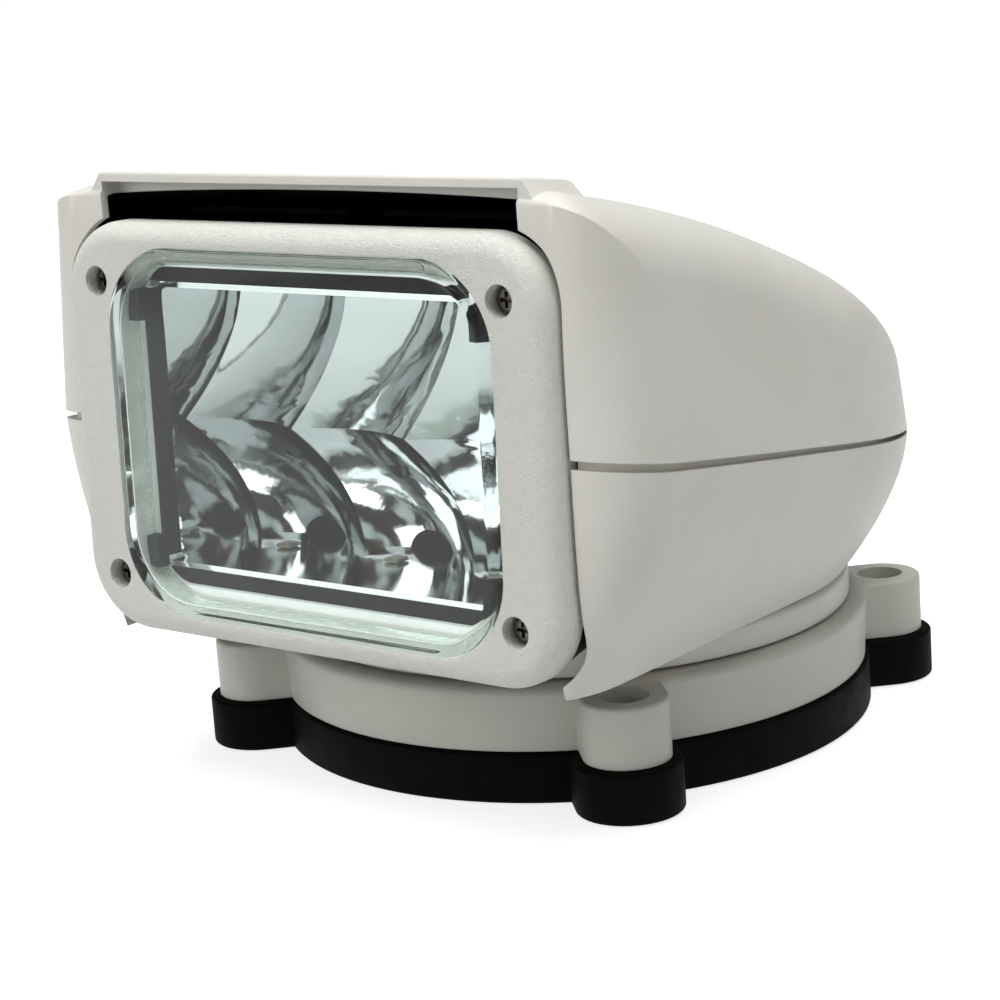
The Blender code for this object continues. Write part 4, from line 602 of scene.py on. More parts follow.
def section(width, clip, top, drop, outer_slope, inner_slope, shoulder, low, inset):
    """Half section of the roof: drafted side, round shoulder, and a curve in to the middle.

    Near the face the side stands further in, at the clip, and cuts the shoulder short.
    """
    lean = tan(SIDE_DRAFT)
    corner = Vector((width - lean * (top - drop - low), top - drop))
    up = Vector((-lean, 1.0)).normalized()
    inward = Vector((-1.0, outer_slope)).normalized()
    angle = (-up).angle(inward)
    straight = TONGUE_HEIGHT + TONGUE_GAP if inset else 0.0
    reach = min(shoulder / tan(angle / 2), (corner.y - low - straight) / up.y)
    shoulder = reach * tan(angle / 2)
    first, last = corner - up * reach, corner + inward * reach
    centre = first + Vector((-up.y, up.x)) * shoulder
    reach_out = (clip + lean * low - centre.x - lean * centre.y) / (shoulder * sqrt(1 + lean * lean))
    begin = atan(lean) + acos(min(1.0, reach_out))
    end = atan2(last.y - centre.y, last.x - centre.x)
    first = centre + Vector((cos(begin), sin(begin))) * float(shoulder)
    foot = Vector((clip, low))
    points = [tuple(foot.lerp(first, u)) for u in np.linspace(0, 1, SECTION_STEPS[0], endpoint=False)]
    points += arc(centre, shoulder, begin, end, SECTION_STEPS[1])
    middle = Vector((0.0, top))
    third = last.x / 3
    outer_handle = last + Vector((-third, outer_slope * third))
    inner_handle = middle + Vector((third, -inner_slope * third))
    for u in np.linspace(0, 1, SECTION_STEPS[2] + 1)[1:]:
        v = 1 - u
        points.append(tuple(last * v ** 3 + outer_handle * 3 * v * v * u + inner_handle * 3 * v * u * u
                            + middle * u ** 3))
    return points


def upper_column(y, inset):
    """Points of one side station, from the split line up to the ridge."""
    share = (y - HEAD_FRONT_Y) / (CROWN_CENTRE_Y - HEAD_FRONT_Y)
    corner_end = HEAD_FRONT_Y + FACE_ROUND_DEPTH
    growth = max(0.0, (y - corner_end) / (CROWN_CENTRE_Y - corner_end)) ** 2
    shoulder = SHOULDER_FRONT + (SHOULDER_CENTRE - SHOULDER_FRONT) * growth - inset
    drop = CROWN_DROP * (0.7 + 0.3 * share)
    width = HEAD_HALF_WIDTH - inset
    low = split_z(y)
    lean = FACE_LEAN * (1 - share)
    clip = half_width(y, inset)
    points = section(width, clip, roof_z(y) - inset, drop, 2 * drop / width, 0.0, shoulder, low, inset)
    return [(x, y + lean * (z - low), z) for x, z in points]


def dome_column(angle, inset):
    """Points of one radial section of the dome at the rear."""
    width = HEAD_HALF_WIDTH - inset
    length = REAR_LENGTH - inset
    across, back = width * cos(angle), length * sin(angle)
    radius = hypot(across, back)
    share = sin(angle)
    drop = CROWN_DROP * (1 - share) + REAR_DROP * share
    slope = 2 * CROWN_DROP / width * (1 - share) + REAR_SLOPE * share
    shoulder = SHOULDER_CENTRE * (1 - share) + REAR_ROUND * share - inset
    fall = roof_slope(CROWN_CENTRE_Y) * sin(angle)
    low = split_z(CROWN_CENTRE_Y + back)
    points = section(radius, radius, ROOF_CENTRE_Z - inset, drop, slope, fall, shoulder, low, inset)
    return [(r * across / radius, CROWN_CENTRE_Y + r * back / radius, z) for r, z in points]


def outline_points(inset):
    """Plan of the head at the split line, with the matching points of the lower rim."""
    entries = []
    for y in stations(inset):
        width = half_width(y, inset)
        share = (y - HEAD_FRONT_Y - inset) / (CROWN_CENTRE_Y - HEAD_FRONT_Y - inset)
        rim_x = RIM_HALF_WIDTH - inset - RIM_CORNER * (HEAD_HALF_WIDTH - inset - width)
        entries.append(((width, y), (rim_x, (HEAD_FRONT_Y + inset) * (1 - share))))
    for angle in np.linspace(0, pi / 2, REAR_STATIONS + 1)[1:]:
        back = (REAR_LENGTH - inset) * sin(angle)
        plan = (HEAD_HALF_WIDTH - inset) * cos(angle), CROWN_CENTRE_Y + back
        rim = (RIM_HALF_WIDTH - inset) * cos(angle), (RIM_REAR_Y - inset) * sin(angle)
        entries.append((plan, rim))
    left = [((-plan[0], plan[1]), (-rim[0], rim[1])) for plan, rim in reversed(entries[:-1])]
    return entries + left


def lower_loop(inset, level):
    """One closed loop of the lower shell at a height that the level function gives."""
    points = []
    for plan, rim in outline_points(inset):
        foot = RIM_Z + RIM_REAR_RISE * (max(rim[1], 0.0) / RIM_REAR_Y) ** 2
        top = split_z(plan[1])
        z = level(foot, top, plan[1])
        t = (z - foot) / (top - foot)
        bulge = 1 - (1 - min(t, 1.0)) ** FLANK_BULGE if t > 0 else FLANK_BULGE * t
        points.append((rim[0] + (plan[0] - rim[0]) * bulge, rim[1] + (plan[1] - rim[1]) * bulge, z))
    return points


def loft(loops):
    """A closed body through equal closed loops."""
    bm = bmesh.new()
    rings = [[bm.verts.new(point) for point in loop] for loop in loops]
    count = len(rings[0])
    for low, high in zip(rings, rings[1:]):
        for i in range(count):
            j = (i + 1) % count
            bm.faces.new((low[i], low[j], high[j], high[i]))
    bm.faces.new(list(reversed(rings[0])))
    bm.faces.new(rings[-1])
    return bm


def roof_skin(bm, inset):
    """Adds one skin of the roof with its flat face, and returns its loop at the split line."""
    right = [[bm.verts.new(point) for point in upper_column(y, inset)] for y in stations(inset)]
    left = []
    for column in right:
        mirrored = [bm.verts.new((-vert.co.x, vert.co.y, vert.co.z)) for vert in column[:-1]]
        left.append(mirrored + [column[-1]])
    top = right[-1][-1]
    dome = []
    for angle in np.linspace(0, pi, 2 * REAR_STATIONS + 1)[1:-1]:
        points = dome_column(min(angle, pi - angle), inset)
        sign = 1 if angle <= pi / 2 else -1
        dome.append([bm.verts.new((sign * x, y, z)) for x, y, z in points[:-1]] + [top])
    columns = right + dome + list(reversed(left))
    for one, two in zip(columns, columns[1:]):
        for k in range(len(one) - 1):
            kept = list(dict.fromkeys((one[k], two[k], two[k + 1], one[k + 1])))
            bm.faces.new(kept)
    bm.faces.new(right[0] + list(reversed(left[0][:-1])))
    return [column[0] for column in columns]


def opening_cutter(depth):
    """The lamp's opening: follows the bezel, with a slot above it and an open foot below."""
    width = OPENING_HALF_WIDTH
    height = OPENING_HALF_HEIGHT
    upper = OPENING_UPPER_ROUND
    slot = asin((SLOT_HALF_WIDTH - width + upper) / upper)
    right = [(OPENING_FOOT_HALF, RIM_Z - CUTTER_REACH)]
    centre = (width - OPENING_LOWER_ROUND, TILT_AXIS_Z - height + OPENING_LOWER_ROUND)
    foot = -pi / 2 + asin((OPENING_FOOT_HALF - centre[0]) / OPENING_LOWER_ROUND)
    right += arc(centre, OPENING_LOWER_ROUND, foot, 0.0, 17)
    right += arc((width - upper, TILT_AXIS_Z + height - upper), upper, 0.0, pi / 2 - slot, 21)
    right += [(SLOT_HALF_WIDTH, SLOT_TOP_Z)]
    left = [(-x, z) for x, z in reversed(right)]
    return object_from("opening", prism(right + left, HEAD_FRONT_Y - CUTTER_REACH, depth, "Y"), None)


def bridge():
    """The bar across the front of the roof, with soft edges and slanted ends."""
    along = [BRIDGE_FRONT_Y + BRIDGE_DEPTH * u for u in np.linspace(0, 1, 25)]
    outline = [(along[0], BRIDGE_TOP_Z), (along[-1], BRIDGE_TOP_Z - BRIDGE_SLOPE * BRIDGE_DEPTH)]
    outline += [(y, roof_z(y) - SHELL_WALL * 0.9) for y in reversed(along)]
    bm = prism(outline, -BRIDGE_HALF_WIDTH, BRIDGE_HALF_WIDTH, "X")
    crest = [vert for vert in bm.verts if vert.co.z > roof_z(vert.co.y)]
    for vert in crest:
        vert.co.x -= BRIDGE_END_SLANT if vert.co.x > 0 else -BRIDGE_END_SLANT
    edges = [edge for edge in bm.edges if all(vert in crest for vert in edge.verts)]
    bmesh.ops.bevel(bm, geom=edges, offset=BRIDGE_ROUND, segments=5, profile=0.5, affect="EDGES")
    return object_from("bridge", bm, None)


def smooth_step(value, start, end):
    """Rises softly from 0 to 1 between two values."""
    share = min(1.0, max(0.0, (value - start) / (end - start)))
    return share * share * (3 - 2 * share)


def dish_face(mesh):
    """Sets the face back beside the slot, and leaves the cheeks' outer corners where they are."""
    bm = bmesh.new()
    bm.from_mesh(mesh)
    cuts = [((x, 0.0, 0.0), (1, 0, 0)) for x in [-x for x in reversed(DISH_X)] + list(DISH_X)]
    cuts += [((0.0, 0.0, z), (0, 0, 1)) for z in DISH_Z]
    for place, way in cuts:
        everything = bm.verts[:] + bm.edges[:] + bm.faces[:]
        bmesh.ops.bisect_plane(bm, geom=everything, plane_co=place, plane_no=way)
    for vert in bm.verts:
        x, y, z = vert.co
        up = smooth_step(z, DISH_Z[0], DISH_Z[-1])
        inward = smooth_step(-abs(x), -DISH_X[-1], -DISH_X[0])
        vert.co.y += FACE_DISH * up * inward * smooth_step(-y, -DISH_REAR_Y, -DISH_FRONT_Y)
    bm.to_mesh(mesh)
    bm.free()


def paint_bay_shade(mesh, black):
    """Painted shade: the shell's inside round the lamp and under the bridge is made black, for the deep
    shade there.
    """
    mesh.materials.append(black.material)
    for face in mesh.polygons:
        x, y, z = face.center
        way = face.normal
        lip = way.z < -0.9 and abs(x) < SLOT_HALF_WIDTH and z > SLOT_TOP_Z - 0.001
        inward = way.z < -0.2 or way.x * x < -0.2 * abs(x) or way.y < -0.4
        under_roof = z < roof_z(y) - SHELL_WALL * 0.5
        within = y > BAY_FRONT_Y and under_roof and abs(x) < half_width(y, SHELL_WALL)
        if lip or (inward and within):
            face.material_index = 1


def dress_upper_shell(surface, black):
    """Roof, cheeks and bridge in the head's fine form."""
    bm = bmesh.new()
    outer = roof_skin(bm, 0.0)
    inner = roof_skin(bm, SHELL_WALL)
    count = len(outer)
    for i in range(count):
        j = (i + 1) % count
        bm.faces.new((outer[i], outer[j], inner[j], inner[i]))
    shell = object_from("upper_shell_skin", bm, surface)
    join(shell, bridge())
    cut(shell, opening_cutter(HEAD_FRONT_Y + OPENING_DEPTH))
    dish_face(shell.data)
    paint_bay_shade(shell.data, black)
    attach(shell, "head")
    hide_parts("upper_shell")


def dress_lower_shell(surface):
    """Cheeks and floor below the split line, with the tongue that shows in the groove."""
    wall = SHELL_WALL
    tongue = wall + TONGUE_GAP
    loops = [lower_loop(wall, lambda foot, top, y: FLOOR_Z),
             lower_loop(wall, lambda foot, top, y: foot),
             lower_loop(0.0, lambda foot, top, y: foot)]
    for t in np.linspace(0.05, 0.95, 14):
        loops.append(lower_loop(
            0.0, lambda foot, top, y, t=t: foot + t * (top - split_reveal(y) - foot)))
    loops += [lower_loop(0.0, lambda foot, top, y: top - split_reveal(y)),
              lower_loop(tongue, lambda foot, top, y: top - split_reveal(y)),
              lower_loop(tongue, lambda foot, top, y: top + TONGUE_HEIGHT),
              lower_loop(tongue + TONGUE_WALL, lambda foot, top, y: top + TONGUE_HEIGHT),
              lower_loop(tongue + TONGUE_WALL, lambda foot, top, y: top - TONGUE_FOOT),
              lower_loop(wall, lambda foot, top, y: top - TONGUE_ROOT)]
    for t in (0.66, 0.36):
        loops.append(lower_loop(wall, lambda foot, top, y, t=t: foot + t * (top - foot)))
    loops.append(lower_loop(wall, lambda foot, top, y: FLOOR_TOP))
    shell = object_from("lower_shell_skin", loft(loops), surface)
    cut(shell, opening_cutter(FLOOR_FRONT_Y))
    hole = rod((0, 0), SPINDLE_HOLE_RADIUS, 0.0, FLOOR_TOP + PASS)
    cut(shell, object_from("spindle_hole", hole, None))
    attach(shell, "head")
    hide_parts("lower_shell")


def lamp_place():
    """From the lamp's own axes to the head, at rest."""
    return Matrix.Translation((0.0, TILT_AXIS_Y, TILT_AXIS_Z)) @ Matrix.Rotation(-REST_TILT, 4, "X")


def onto_lamp(piece, slot, *replaced):
    """Places a piece made in the lamp's own axes, and lets it tilt with the lamp."""
    piece.data.transform(lamp_place())
    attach(piece, "lamp")
    if replaced:
        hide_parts(*replaced)


def screw_places():
    """Where the bezel's four screws sit, in the order of their numbers."""
    corners = (-1, 1), (1, 1), (1, -1), (-1, -1)
    return [(sx * BEZEL_SCREW_X, sz * BEZEL_SCREW_Z) for sx, sz in corners]


def lens_outline(inset):
    """Outline of the lens, drawn in by the inset."""
    points = rounded_rectangle(GLASS_HALF_WIDTH - inset, GLASS_HALF_HEIGHT - inset,
                               GLASS_CORNER - inset, 25)
    return [(x + GLASS_CENTRE_X, z) for x, z in points]


def dress_bezel(surface):
    """The lamp's front frame with its soft round edge and four sunk holes."""
    outline = rounded_rectangle(BEZEL_HALF_WIDTH, BEZEL_HALF_HEIGHT, BEZEL_CORNER, 25)
    body = prism(outline, BEZEL_FACE, BEZEL_BACK, "Y", BEZEL_ROUND, 12, True, False)
    made = object_from("bezel_frame", body, surface)
    front, back = BEZEL_FACE - PASS, BEZEL_BACK + PASS
    cut(made, object_from("window", prism(lens_outline(-LENS_GAP), front, back, "Y"), None))
    for x, z in screw_places():
        sink = rod((x, z), BEZEL_SINK_RADIUS, front, BEZEL_FACE + BEZEL_SINK_DEPTH, "Y", 40)
        hole = rod((x, z), BEZEL_HOLE_RADIUS, front, back, "Y", 24)
        cut(made, object_from("sink", sink, None), object_from("hole", hole, None))
    onto_lamp(made, "bezel_white", "bezel")


def dress_glass(surface):
    """The raised glass dish, its front edge well rounded inside and out."""
    dish = prism(lens_outline(0.0), GLASS_FACE, GLASS_BACK, "Y", GLASS_ROUND, 8, True, False)
    made = object_from("glass_dish", dish, surface)
    front, back = GLASS_FACE + GLASS_WALL, GLASS_BACK + PASS
    inner = prism(lens_outline(GLASS_WALL), front, back, "Y", GLASS_INNER_ROUND, 6, True, False)
    cut(made, object_from("hollow", inner, None))
    onto_lamp(made, "clear_glass", "glass_lens")


def cell_depth(x, z, vertex):
    """Depth of the reflector: each cell is half a paraboloid fed from its outer edge."""
    cell = min(max(int((x + CELL_SPAN) / CELL_WIDTH), 0), CELL_COUNT - 1)
    middle = (cell - (CELL_COUNT - 1) / 2) * CELL_WIDTH
    outer = CELL_HEIGHT if z >= 0 else -CELL_HEIGHT
    return vertex - ((x - middle) ** 2 + (z - outer) ** 2) / (4 * CELL_FOCUS)


def dress_reflector(surface, satin):
    """Six smooth cells with crisp crests, their cheeks, and the frame with its recess in front."""
    depth = ((CELL_WIDTH / 2) ** 2 + CELL_HEIGHT ** 2) / (4 * CELL_FOCUS)
    vertex = FRAME_BACK + CELL_SET_BACK + depth
    xs = np.linspace(-CELL_SPAN, CELL_SPAN, CELL_COUNT * CELL_STEPS_ACROSS + 1)
    zs = np.linspace(-CELL_HEIGHT, CELL_HEIGHT, 2 * CELL_STEPS_UP + 1)
    bm = bmesh.new()
    grid = [[bm.verts.new((x, cell_depth(x, z, vertex), z)) for z in zs] for x in xs]
    for one, two in zip(grid, grid[1:]):
        for j in range(len(zs) - 1):
            bm.faces.new((one[j], two[j], two[j + 1], one[j + 1]))
    made = object_from("reflector_cells", bm, surface, CREST_ANGLE)
    outline = rounded_rectangle(CELL_SPAN + FRAME_MARGIN, GLASS_HALF_HEIGHT - FRAME_EDGE_GAP,
                                GLASS_CORNER, 20)
    frame_ring = object_from("reflector_frame", prism(outline, FRAME_FRONT, FRAME_BACK, "Y"), satin)
    outline = rounded_rectangle(CELL_SPAN + RECESS_MARGIN, CELL_HEIGHT + RECESS_MARGIN,
                                RECESS_CORNER, 16)
    hole = prism(outline, FRAME_FRONT - PASS, FRAME_BACK + PASS, "Y")
    cut(frame_ring, object_from("hole", hole, None))
    outline = rounded_rectangle(CELL_SPAN + PLATE_MARGIN, CELL_HEIGHT + PLATE_MARGIN,
                                PLATE_CORNER, 16)
    plate = prism(outline, FRAME_BACK - PLATE_THICKNESS, FRAME_BACK, "Y")
    step = object_from("reflector_step", plate, surface)
    outline = rounded_rectangle(CELL_SPAN - APERTURE_SIDE_LAP, CELL_HEIGHT - APERTURE_TOP_LAP,
                                APERTURE_CORNER, 12)
    aperture = prism(outline, FRAME_BACK - PASS, FRAME_BACK + PASS, "Y")
    cut(step, object_from("aperture", aperture, None))
    onto_lamp(step, "chromed")
    for side in (-1, 1):
        x0, x1 = sorted((side * CELL_SPAN, side * (CELL_SPAN + CELL_WALL)))
        front = FRAME_BACK - CHEEK_LAP
        outline = [(x0, front), (x1, front), (x1, vertex), (x0, vertex)]
        cheek = prism(outline, -CELL_HEIGHT, CELL_HEIGHT)
        onto_lamp(object_from("reflector_side_%d" % (side + 2), cheek, surface), "chromed")
    onto_lamp(frame_ring, "chromed", "reflector")
    onto_lamp(made, "chromed")


def dress_pads(surface):
    """The four rubber pads between the lens and the reflector."""
    names = sorted(name for name in nodes if name.startswith("lens_pad"))
    for name in names:
        low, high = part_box(name)
        sx = 1 if low[0] + high[0] > 0 else -1
        sz = 1 if low[2] + high[2] > 2 * TILT_AXIS_Z else -1
        outline = [(sx * PAD_X + u * PAD_HALF_WIDTH, sz * PAD_Z + v * PAD_HALF_HEIGHT)
                   for u, v in CORNERS]
        pad = prism(outline, PAD_FRONT, GLASS_BACK, "Y", PAD_ROUND, 2)
        onto_lamp(object_from("pad_of_" + name, pad, surface), "rubber", name)


def dress_screws(surface):
    """The four bezel screws with their cross recess."""
    for index, (x, z) in enumerate(screw_places(), 1):
        seat = BEZEL_FACE + BEZEL_SINK_DEPTH - SCREW_CLEARANCE
        head = rod((x, z), SCREW_HEAD_RADIUS, seat - SCREW_HEAD_HEIGHT, seat, "Y", 32)
        edges = [edge for edge in head.edges if lies_at(edge, 1, seat - SCREW_HEAD_HEIGHT)]
        bmesh.ops.bevel(head, geom=edges, offset=SCREW_HEAD_ROUND, segments=4, profile=0.5,
                        affect="EDGES")
        made = object_from("bezel_screw_head_%d" % index, head, surface)
        for along, across in ((CROSS_REACH, CROSS_HALF_WIDTH), (CROSS_HALF_WIDTH, CROSS_REACH)):
            outline = [(x + u * along, z + v * across) for u, v in CORNERS]
            slot = prism(outline, seat - CROSS_TOP, seat - CROSS_FLOOR, "Y")
            cut(made, object_from("slot", slot, None))
        shank = rod((x, z), SHANK_RADIUS, seat - SHANK_LAP, seat + SHANK_LENGTH, "Y", 20)
        join(made, object_from("shank", shank, None))
        onto_lamp(made, "steel", "bezel_screw_%d" % index)


def lobed_outline(radius, lobe, spacing, count=24):
    """A disc with four round lobes on straight webs."""
    reach = spacing / sqrt(2)
    half = asin(lobe / radius)
    points = []
    for quarter in range(4):
        middle = pi / 4 + quarter * pi / 2
        points += arc((0.0, 0.0), radius, middle - pi / 2 + half, middle - half, count)
        centre = (reach * cos(middle), reach * sin(middle))
        points += arc(centre, lobe, middle - pi / 2, middle + pi / 2, count)
    return points


def dress_gasket(surface):
    """The rubber pad with slightly rounded edges."""
    outline = lobed_outline(GASKET_RADIUS, GASKET_LOBE, BOSS_SPACING)
    body = prism(outline, 0.0, GASKET_TOP, rounding=GASKET_ROUND, steps=3, round_low=True)
    pad = object_from("gasket_pad", body, surface)
    middle = rod((0, 0), GASKET_OPENING_RADIUS, -PASS, GASKET_TOP + PASS, segments=96)
    cut(pad, object_from("middle", middle, None))
    for place in BOSS_PLACES:
        hole = rod(place, FIXING_HOLE_RADIUS, -PASS, GASKET_TOP + PASS, segments=24)
        cut(pad, object_from("hole", hole, None))
    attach(pad, "base")
    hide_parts("base_gasket")


def dress_plinth(surface):
    """The round plinth with its four bosses, smooth all round."""
    foot, top = PLINTH_FOOT, PLINTH_FOOT + PLINTH_HEIGHT
    ceiling = top - PLINTH_WALL
    inner = PLINTH_RADIUS - PLINTH_WALL
    ledge = inner - LEDGE_WIDTH
    centre = PLINTH_RADIUS - PLINTH_ROUND, top - PLINTH_ROUND
    profile = [(PLINTH_RADIUS - PLINTH_FOOT_INSET, foot)]
    profile += arc(centre, PLINTH_ROUND, 0.0, pi / 2, 10)
    profile += [(PLINTH_BORE_RADIUS, top), (PLINTH_BORE_RADIUS, ceiling), (ledge, ceiling),
                (ledge, foot + LEDGE_HEIGHT), (inner, foot + LEDGE_HEIGHT), (inner, foot)]
    body = object_from("plinth_body", turned(profile), surface)
    for place in BOSS_PLACES:
        angle = atan2(place[1], place[0])
        reach = PLINTH_RADIUS - PLINTH_WALL * BOSS_ROOT_SHARE
        root = reach * cos(angle), reach * sin(angle)
        side = BOSS_RADIUS * cos(angle + pi / 2), BOSS_RADIUS * sin(angle + pi / 2)
        outline = arc(place, BOSS_RADIUS, angle - pi / 2, angle + pi / 2, 30)
        outline += [(root[0] + side[0], root[1] + side[1]), (root[0] - side[0], root[1] - side[1])]
        high = foot + BOSS_HEIGHT
        boss = prism(outline, foot, high, rounding=BOSS_ROUND, steps=4)
        join(body, object_from("boss", boss, None))
        sink = rod(place, BOSS_SINK_RADIUS, high - BOSS_SINK_DEPTH, high + PASS, segments=48)
        hole = rod(place, FIXING_HOLE_RADIUS, 0.0, high, segments=32)
        cut(body, object_from("sink", sink, None), object_from("hole", hole, None))
    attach(body, "base")
    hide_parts("base_housing")


def dress_turntable(surface):
    """The ring under the head."""
    shoulder = TURNTABLE_FOOT + TURNTABLE_HEIGHT
    ceiling = shoulder - TURNTABLE_ROOF
    seat = ceiling + SPINDLE_SEAT_DEPTH
    inner = TURNTABLE_RADIUS - TURNTABLE_WALL
    centre = TURNTABLE_RADIUS - TURNTABLE_ROUND, shoulder - TURNTABLE_ROUND
    profile = [(TURNTABLE_RADIUS, TURNTABLE_FOOT)]
    profile += arc(centre, TURNTABLE_ROUND, 0.0, pi / 2, 9)
    profile += [(PLATFORM_RADIUS, shoulder), (PLATFORM_RADIUS, PLATFORM_Z),
                (TURNTABLE_BORE_RADIUS, PLATFORM_Z), (TURNTABLE_BORE_RADIUS, seat),
                (SPINDLE_SEAT_RADIUS, seat), (SPINDLE_SEAT_RADIUS, ceiling),
                (inner, ceiling), (inner, TURNTABLE_FOOT)]
    ring = object_from("turntable_ring", turned(profile), surface)
    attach(ring, "head")
    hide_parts("turntable")


def dress_hidden():
    """Materials of the pieces that keep their solids."""
    black = dull("black_moulding", DEEP_BLACK, 0.6)
    cast = dull("black_casting", (0.006, 0.006, 0.006), 0.6, 350.0)
    nylon = dull("natural_nylon", (0.72, 0.70, 0.62), 0.4)
    steel = metal("bright_steel", (0.55, 0.55, 0.54), 0.3)
    zinc = metal("zinc_plate", (0.45, 0.46, 0.47), 0.38)
    bronze = metal("bearing_bronze", (0.52, 0.34, 0.17), 0.35)
    brass = metal("pinion_brass", (0.62, 0.45, 0.18), 0.28)
    board = dull("board_green", (0.02, 0.12, 0.05), 0.4)
    bright_board = metal("board_aluminium", (0.78, 0.79, 0.79), 0.08)
    phosphor = dull("led_phosphor", (0.16, 0.15, 0.11), 0.3)
    seal = rubber("seal_rubber", 0.01)
    silicone = dull("silicone_seal", (0.50, 0.50, 0.47), 0.5)
    kinds = {
        "base_cover": black, "bay_liner": black, "lamp_housing": cast,
        "pan_gear": nylon, "tilt_sector": nylon, "tilt_bush_right": nylon, "tilt_bush_left": nylon,
        "thrust_washer": bronze, "dirt_seal": seal, "lens_seal": silicone,
        "pan_spindle": steel, "spindle_ring": steel, "tilt_pin_right": steel, "tilt_pin_left": steel,
        "drive_bracket": zinc, "pan_motor": zinc, "tilt_motor": zinc,
        "pan_pinion": brass, "tilt_pinion": brass, "control_board": board,
        "led_board_upper": bright_board, "led_board_lower": bright_board,
    }
    for name, node in nodes.items():
        kind = kinds.get(name)
        if name.startswith("led_") and name not in kinds:
            kind = phosphor
        if "_screw_" in name:
            kind = steel
        if kind:
            node.data.materials.clear()
            node.data.materials.append(kind.material)


def add_ray_switch(tree, hidden, seen, target):
    """Shows one shader to lit surfaces and another to the camera, to mirrors and through glass."""
    path = tree.nodes.new("ShaderNodeLightPath")
    total = path.outputs["Is Camera Ray"]
    for name in ("Is Glossy Ray", "Is Transmission Ray"):
        step = tree.nodes.new("ShaderNodeMath")
        step.operation = "MAXIMUM"
        tree.links.new(total, step.inputs[0])
        tree.links.new(path.outputs[name], step.inputs[1])
        total = step.outputs["Value"]
    switch = tree.nodes.new("ShaderNodeMixShader")
    tree.links.new(total, switch.inputs["Fac"])
    tree.links.new(hidden, switch.inputs[1])
    tree.links.new(seen, switch.inputs[2])
    tree.links.new(switch.outputs["Shader"], target)


def build_floor():
    """A pale floor that is white where it is seen, and darker by the object's shadow."""
    bm = bmesh.new()
    bmesh.ops.create_grid(bm, x_segments=1, y_segments=1, size=FLOOR_HALF_SIZE)
    for vert in bm.verts:
        vert.co.z = -FLOOR_DROP
    floor = Surface("studio_floor", FLOOR_GREY, 0.9)
    plane = object_from("studio_floor", bm, floor)
    glow = floor.node("ShaderNodeEmission")
    reach = floor.node("ShaderNodeVectorMath", operation="LENGTH")
    floor.link(floor.place, reach.inputs[0])
    spread = floor.node("ShaderNodeMapRange")
    limits = {"From Min": GLOW_NEAR, "From Max": GLOW_FAR, "To Min": FLOOR_GLOW, "To Max": 1.0}
    for socket, value in limits.items():
        spread.inputs[socket].default_value = value
    floor.link(reach.outputs["Value"], spread.inputs["Value"])
    floor.link(spread.outputs["Result"], glow.inputs["Strength"])
    both = floor.node("ShaderNodeAddShader")
    floor.link(floor.shader.outputs["BSDF"], both.inputs[0])
    floor.link(glow.outputs["Emission"], both.inputs[1])
    add_ray_switch(floor.tree, floor.shader.outputs["BSDF"], both.outputs["Shader"],
                   floor.tree.nodes["Material Output"].inputs["Surface"])


def build_world():
    """White to the camera; a dark room with pale panels to mirrors and glass; soft light to the rest."""
    world = bpy.data.worlds.new("studio")
    bpy.context.scene.world = world
    world.use_nodes = True
    tree = world.node_tree
    ambient = tree.nodes["Background"]
    ambient.inputs["Color"].default_value = (0.93, 0.96, 1.0, 1.0)
    ambient.inputs["Strength"].default_value = AMBIENT
    direction = tree.nodes.new("ShaderNodeTexCoord").outputs["Generated"]
    patches = tree.nodes.new("ShaderNodeTexNoise")
    patches.inputs["Scale"].default_value = ROOM_SCALE
    patches.inputs["Detail"].default_value = 1.0
    tree.links.new(direction, patches.inputs["Vector"])
    ramp = tree.nodes.new("ShaderNodeValToRGB")
    while len(ramp.color_ramp.elements) < len(ROOM_STOPS):
        ramp.color_ramp.elements.new(0.5)
    for element, (position, colour) in zip(ramp.color_ramp.elements, ROOM_STOPS):
        element.position = position
        element.color = (*colour, 1.0)
    tree.links.new(patches.outputs["Fac"], ramp.inputs["Fac"])
    room = tree.nodes.new("ShaderNodeBackground")
    tree.links.new(ramp.outputs["Color"], room.inputs["Color"])
    white = tree.nodes.new("ShaderNodeBackground")
    white.inputs["Color"].default_value = (1.0, 1.0, 1.0, 1.0)
    path = tree.nodes.new("ShaderNodeLightPath")
    seen = tree.nodes.new("ShaderNodeMixShader")
    tree.links.new(path.outputs["Is Camera Ray"], seen.inputs["Fac"])
    tree.links.new(room.outputs["Background"], seen.inputs[1])
    tree.links.new(white.outputs["Background"], seen.inputs[2])
    add_ray_switch(tree, ambient.outputs["Background"], seen.outputs["Shader"],
                   tree.nodes["World Output"].inputs["Surface"])


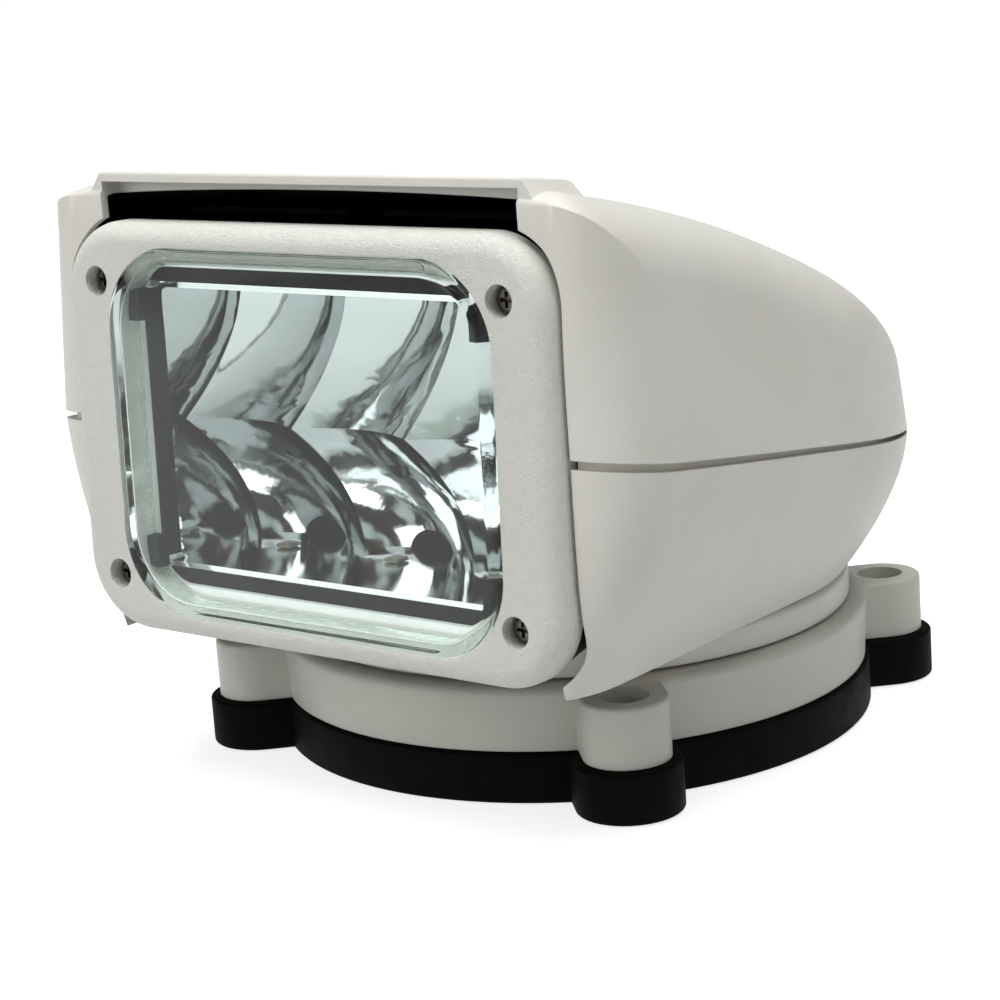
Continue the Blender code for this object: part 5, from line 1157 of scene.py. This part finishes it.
def area_light(name, place, size, power, mirrored=False):
    """A soft box that points at the object, and shows in mirrors only where that is wanted."""
    data = bpy.data.lights.new(name, "AREA")
    data.shape = "RECTANGLE"
    data.size, data.size_y = size
    data.energy = power
    made = bpy.data.objects.new(name, data)
    made.location = place
    way = Vector(LIGHT_TARGET) - Vector(place)
    made.rotation_euler = way.to_track_quat("-Z", "Y").to_euler()
    made.visible_glossy = mirrored
    bpy.context.scene.collection.objects.link(made)


def build_lights():
    """A large top light, a front-left key and a weak right fill."""
    area_light("top_light", (0.1, -0.15, 1.4), (1.3, 1.1), 21.0, True)
    area_light("key_light", (-0.6, -1.4, 0.7), (0.9, 0.9), 8.0)
    area_light("fill_light", (1.3, -0.2, 0.6), (0.8, 0.8), 1.5)


def build_camera():
    """The photograph's camera: a long lens, turned a little about its own axis."""
    back = Vector((sin(CAMERA_AZIMUTH) * cos(CAMERA_ELEVATION),
                   -cos(CAMERA_AZIMUTH) * cos(CAMERA_ELEVATION),
                   sin(CAMERA_ELEVATION)))
    right = (-back).cross(Vector((0, 0, 1))).normalized()
    up = back.cross(right)
    across = right * cos(CAMERA_ROLL) + up * sin(CAMERA_ROLL)
    rise = up * cos(CAMERA_ROLL) - right * sin(CAMERA_ROLL)
    data = bpy.data.cameras.new("camera")
    data.lens = CAMERA_LENS
    data.sensor_width = SENSOR
    data.clip_start = 0.01
    made = bpy.data.objects.new("camera", data)
    turn = Matrix((across, rise, back)).transposed().to_4x4()
    made.matrix_world = Matrix.Translation(CAMERA_PLACE) @ turn
    bpy.context.scene.collection.objects.link(made)
    bpy.context.scene.camera = made


bpy.context.scene.view_settings.view_transform = "Standard"
build_camera()
build_world()
build_lights()
build_floor()

shell_surface = white_plastic("shell_plastic", WHITE, WARM, 0.00005)
# The plinth's plastic is a darker copy of the shell's, as painted shade.
shaded_base_surface = white_plastic("base_plastic_painted_shade", SHADED_BASE_WHITE, SHADED_BASE_WARM, 0.00006)
dress_hidden()
# The upper shell's inside round the lamp is black as painted shade.
dress_upper_shell(shell_surface, dull("bay_painted_shade", DEEP_BLACK, 0.6))
dress_lower_shell(shell_surface)
dress_bezel(leather_plastic())
dress_glass(glass())
dress_reflector(mirror(), dull("reflector_skirt", (0.78, 0.79, 0.78), 0.3))
dress_pads(rubber("pad_rubber", 0.012))
dress_screws(metal("dark_screw", (0.12, 0.11, 0.095), 0.3))
dress_gasket(rubber())
dress_plinth(shaded_base_surface)
dress_turntable(shell_surface)
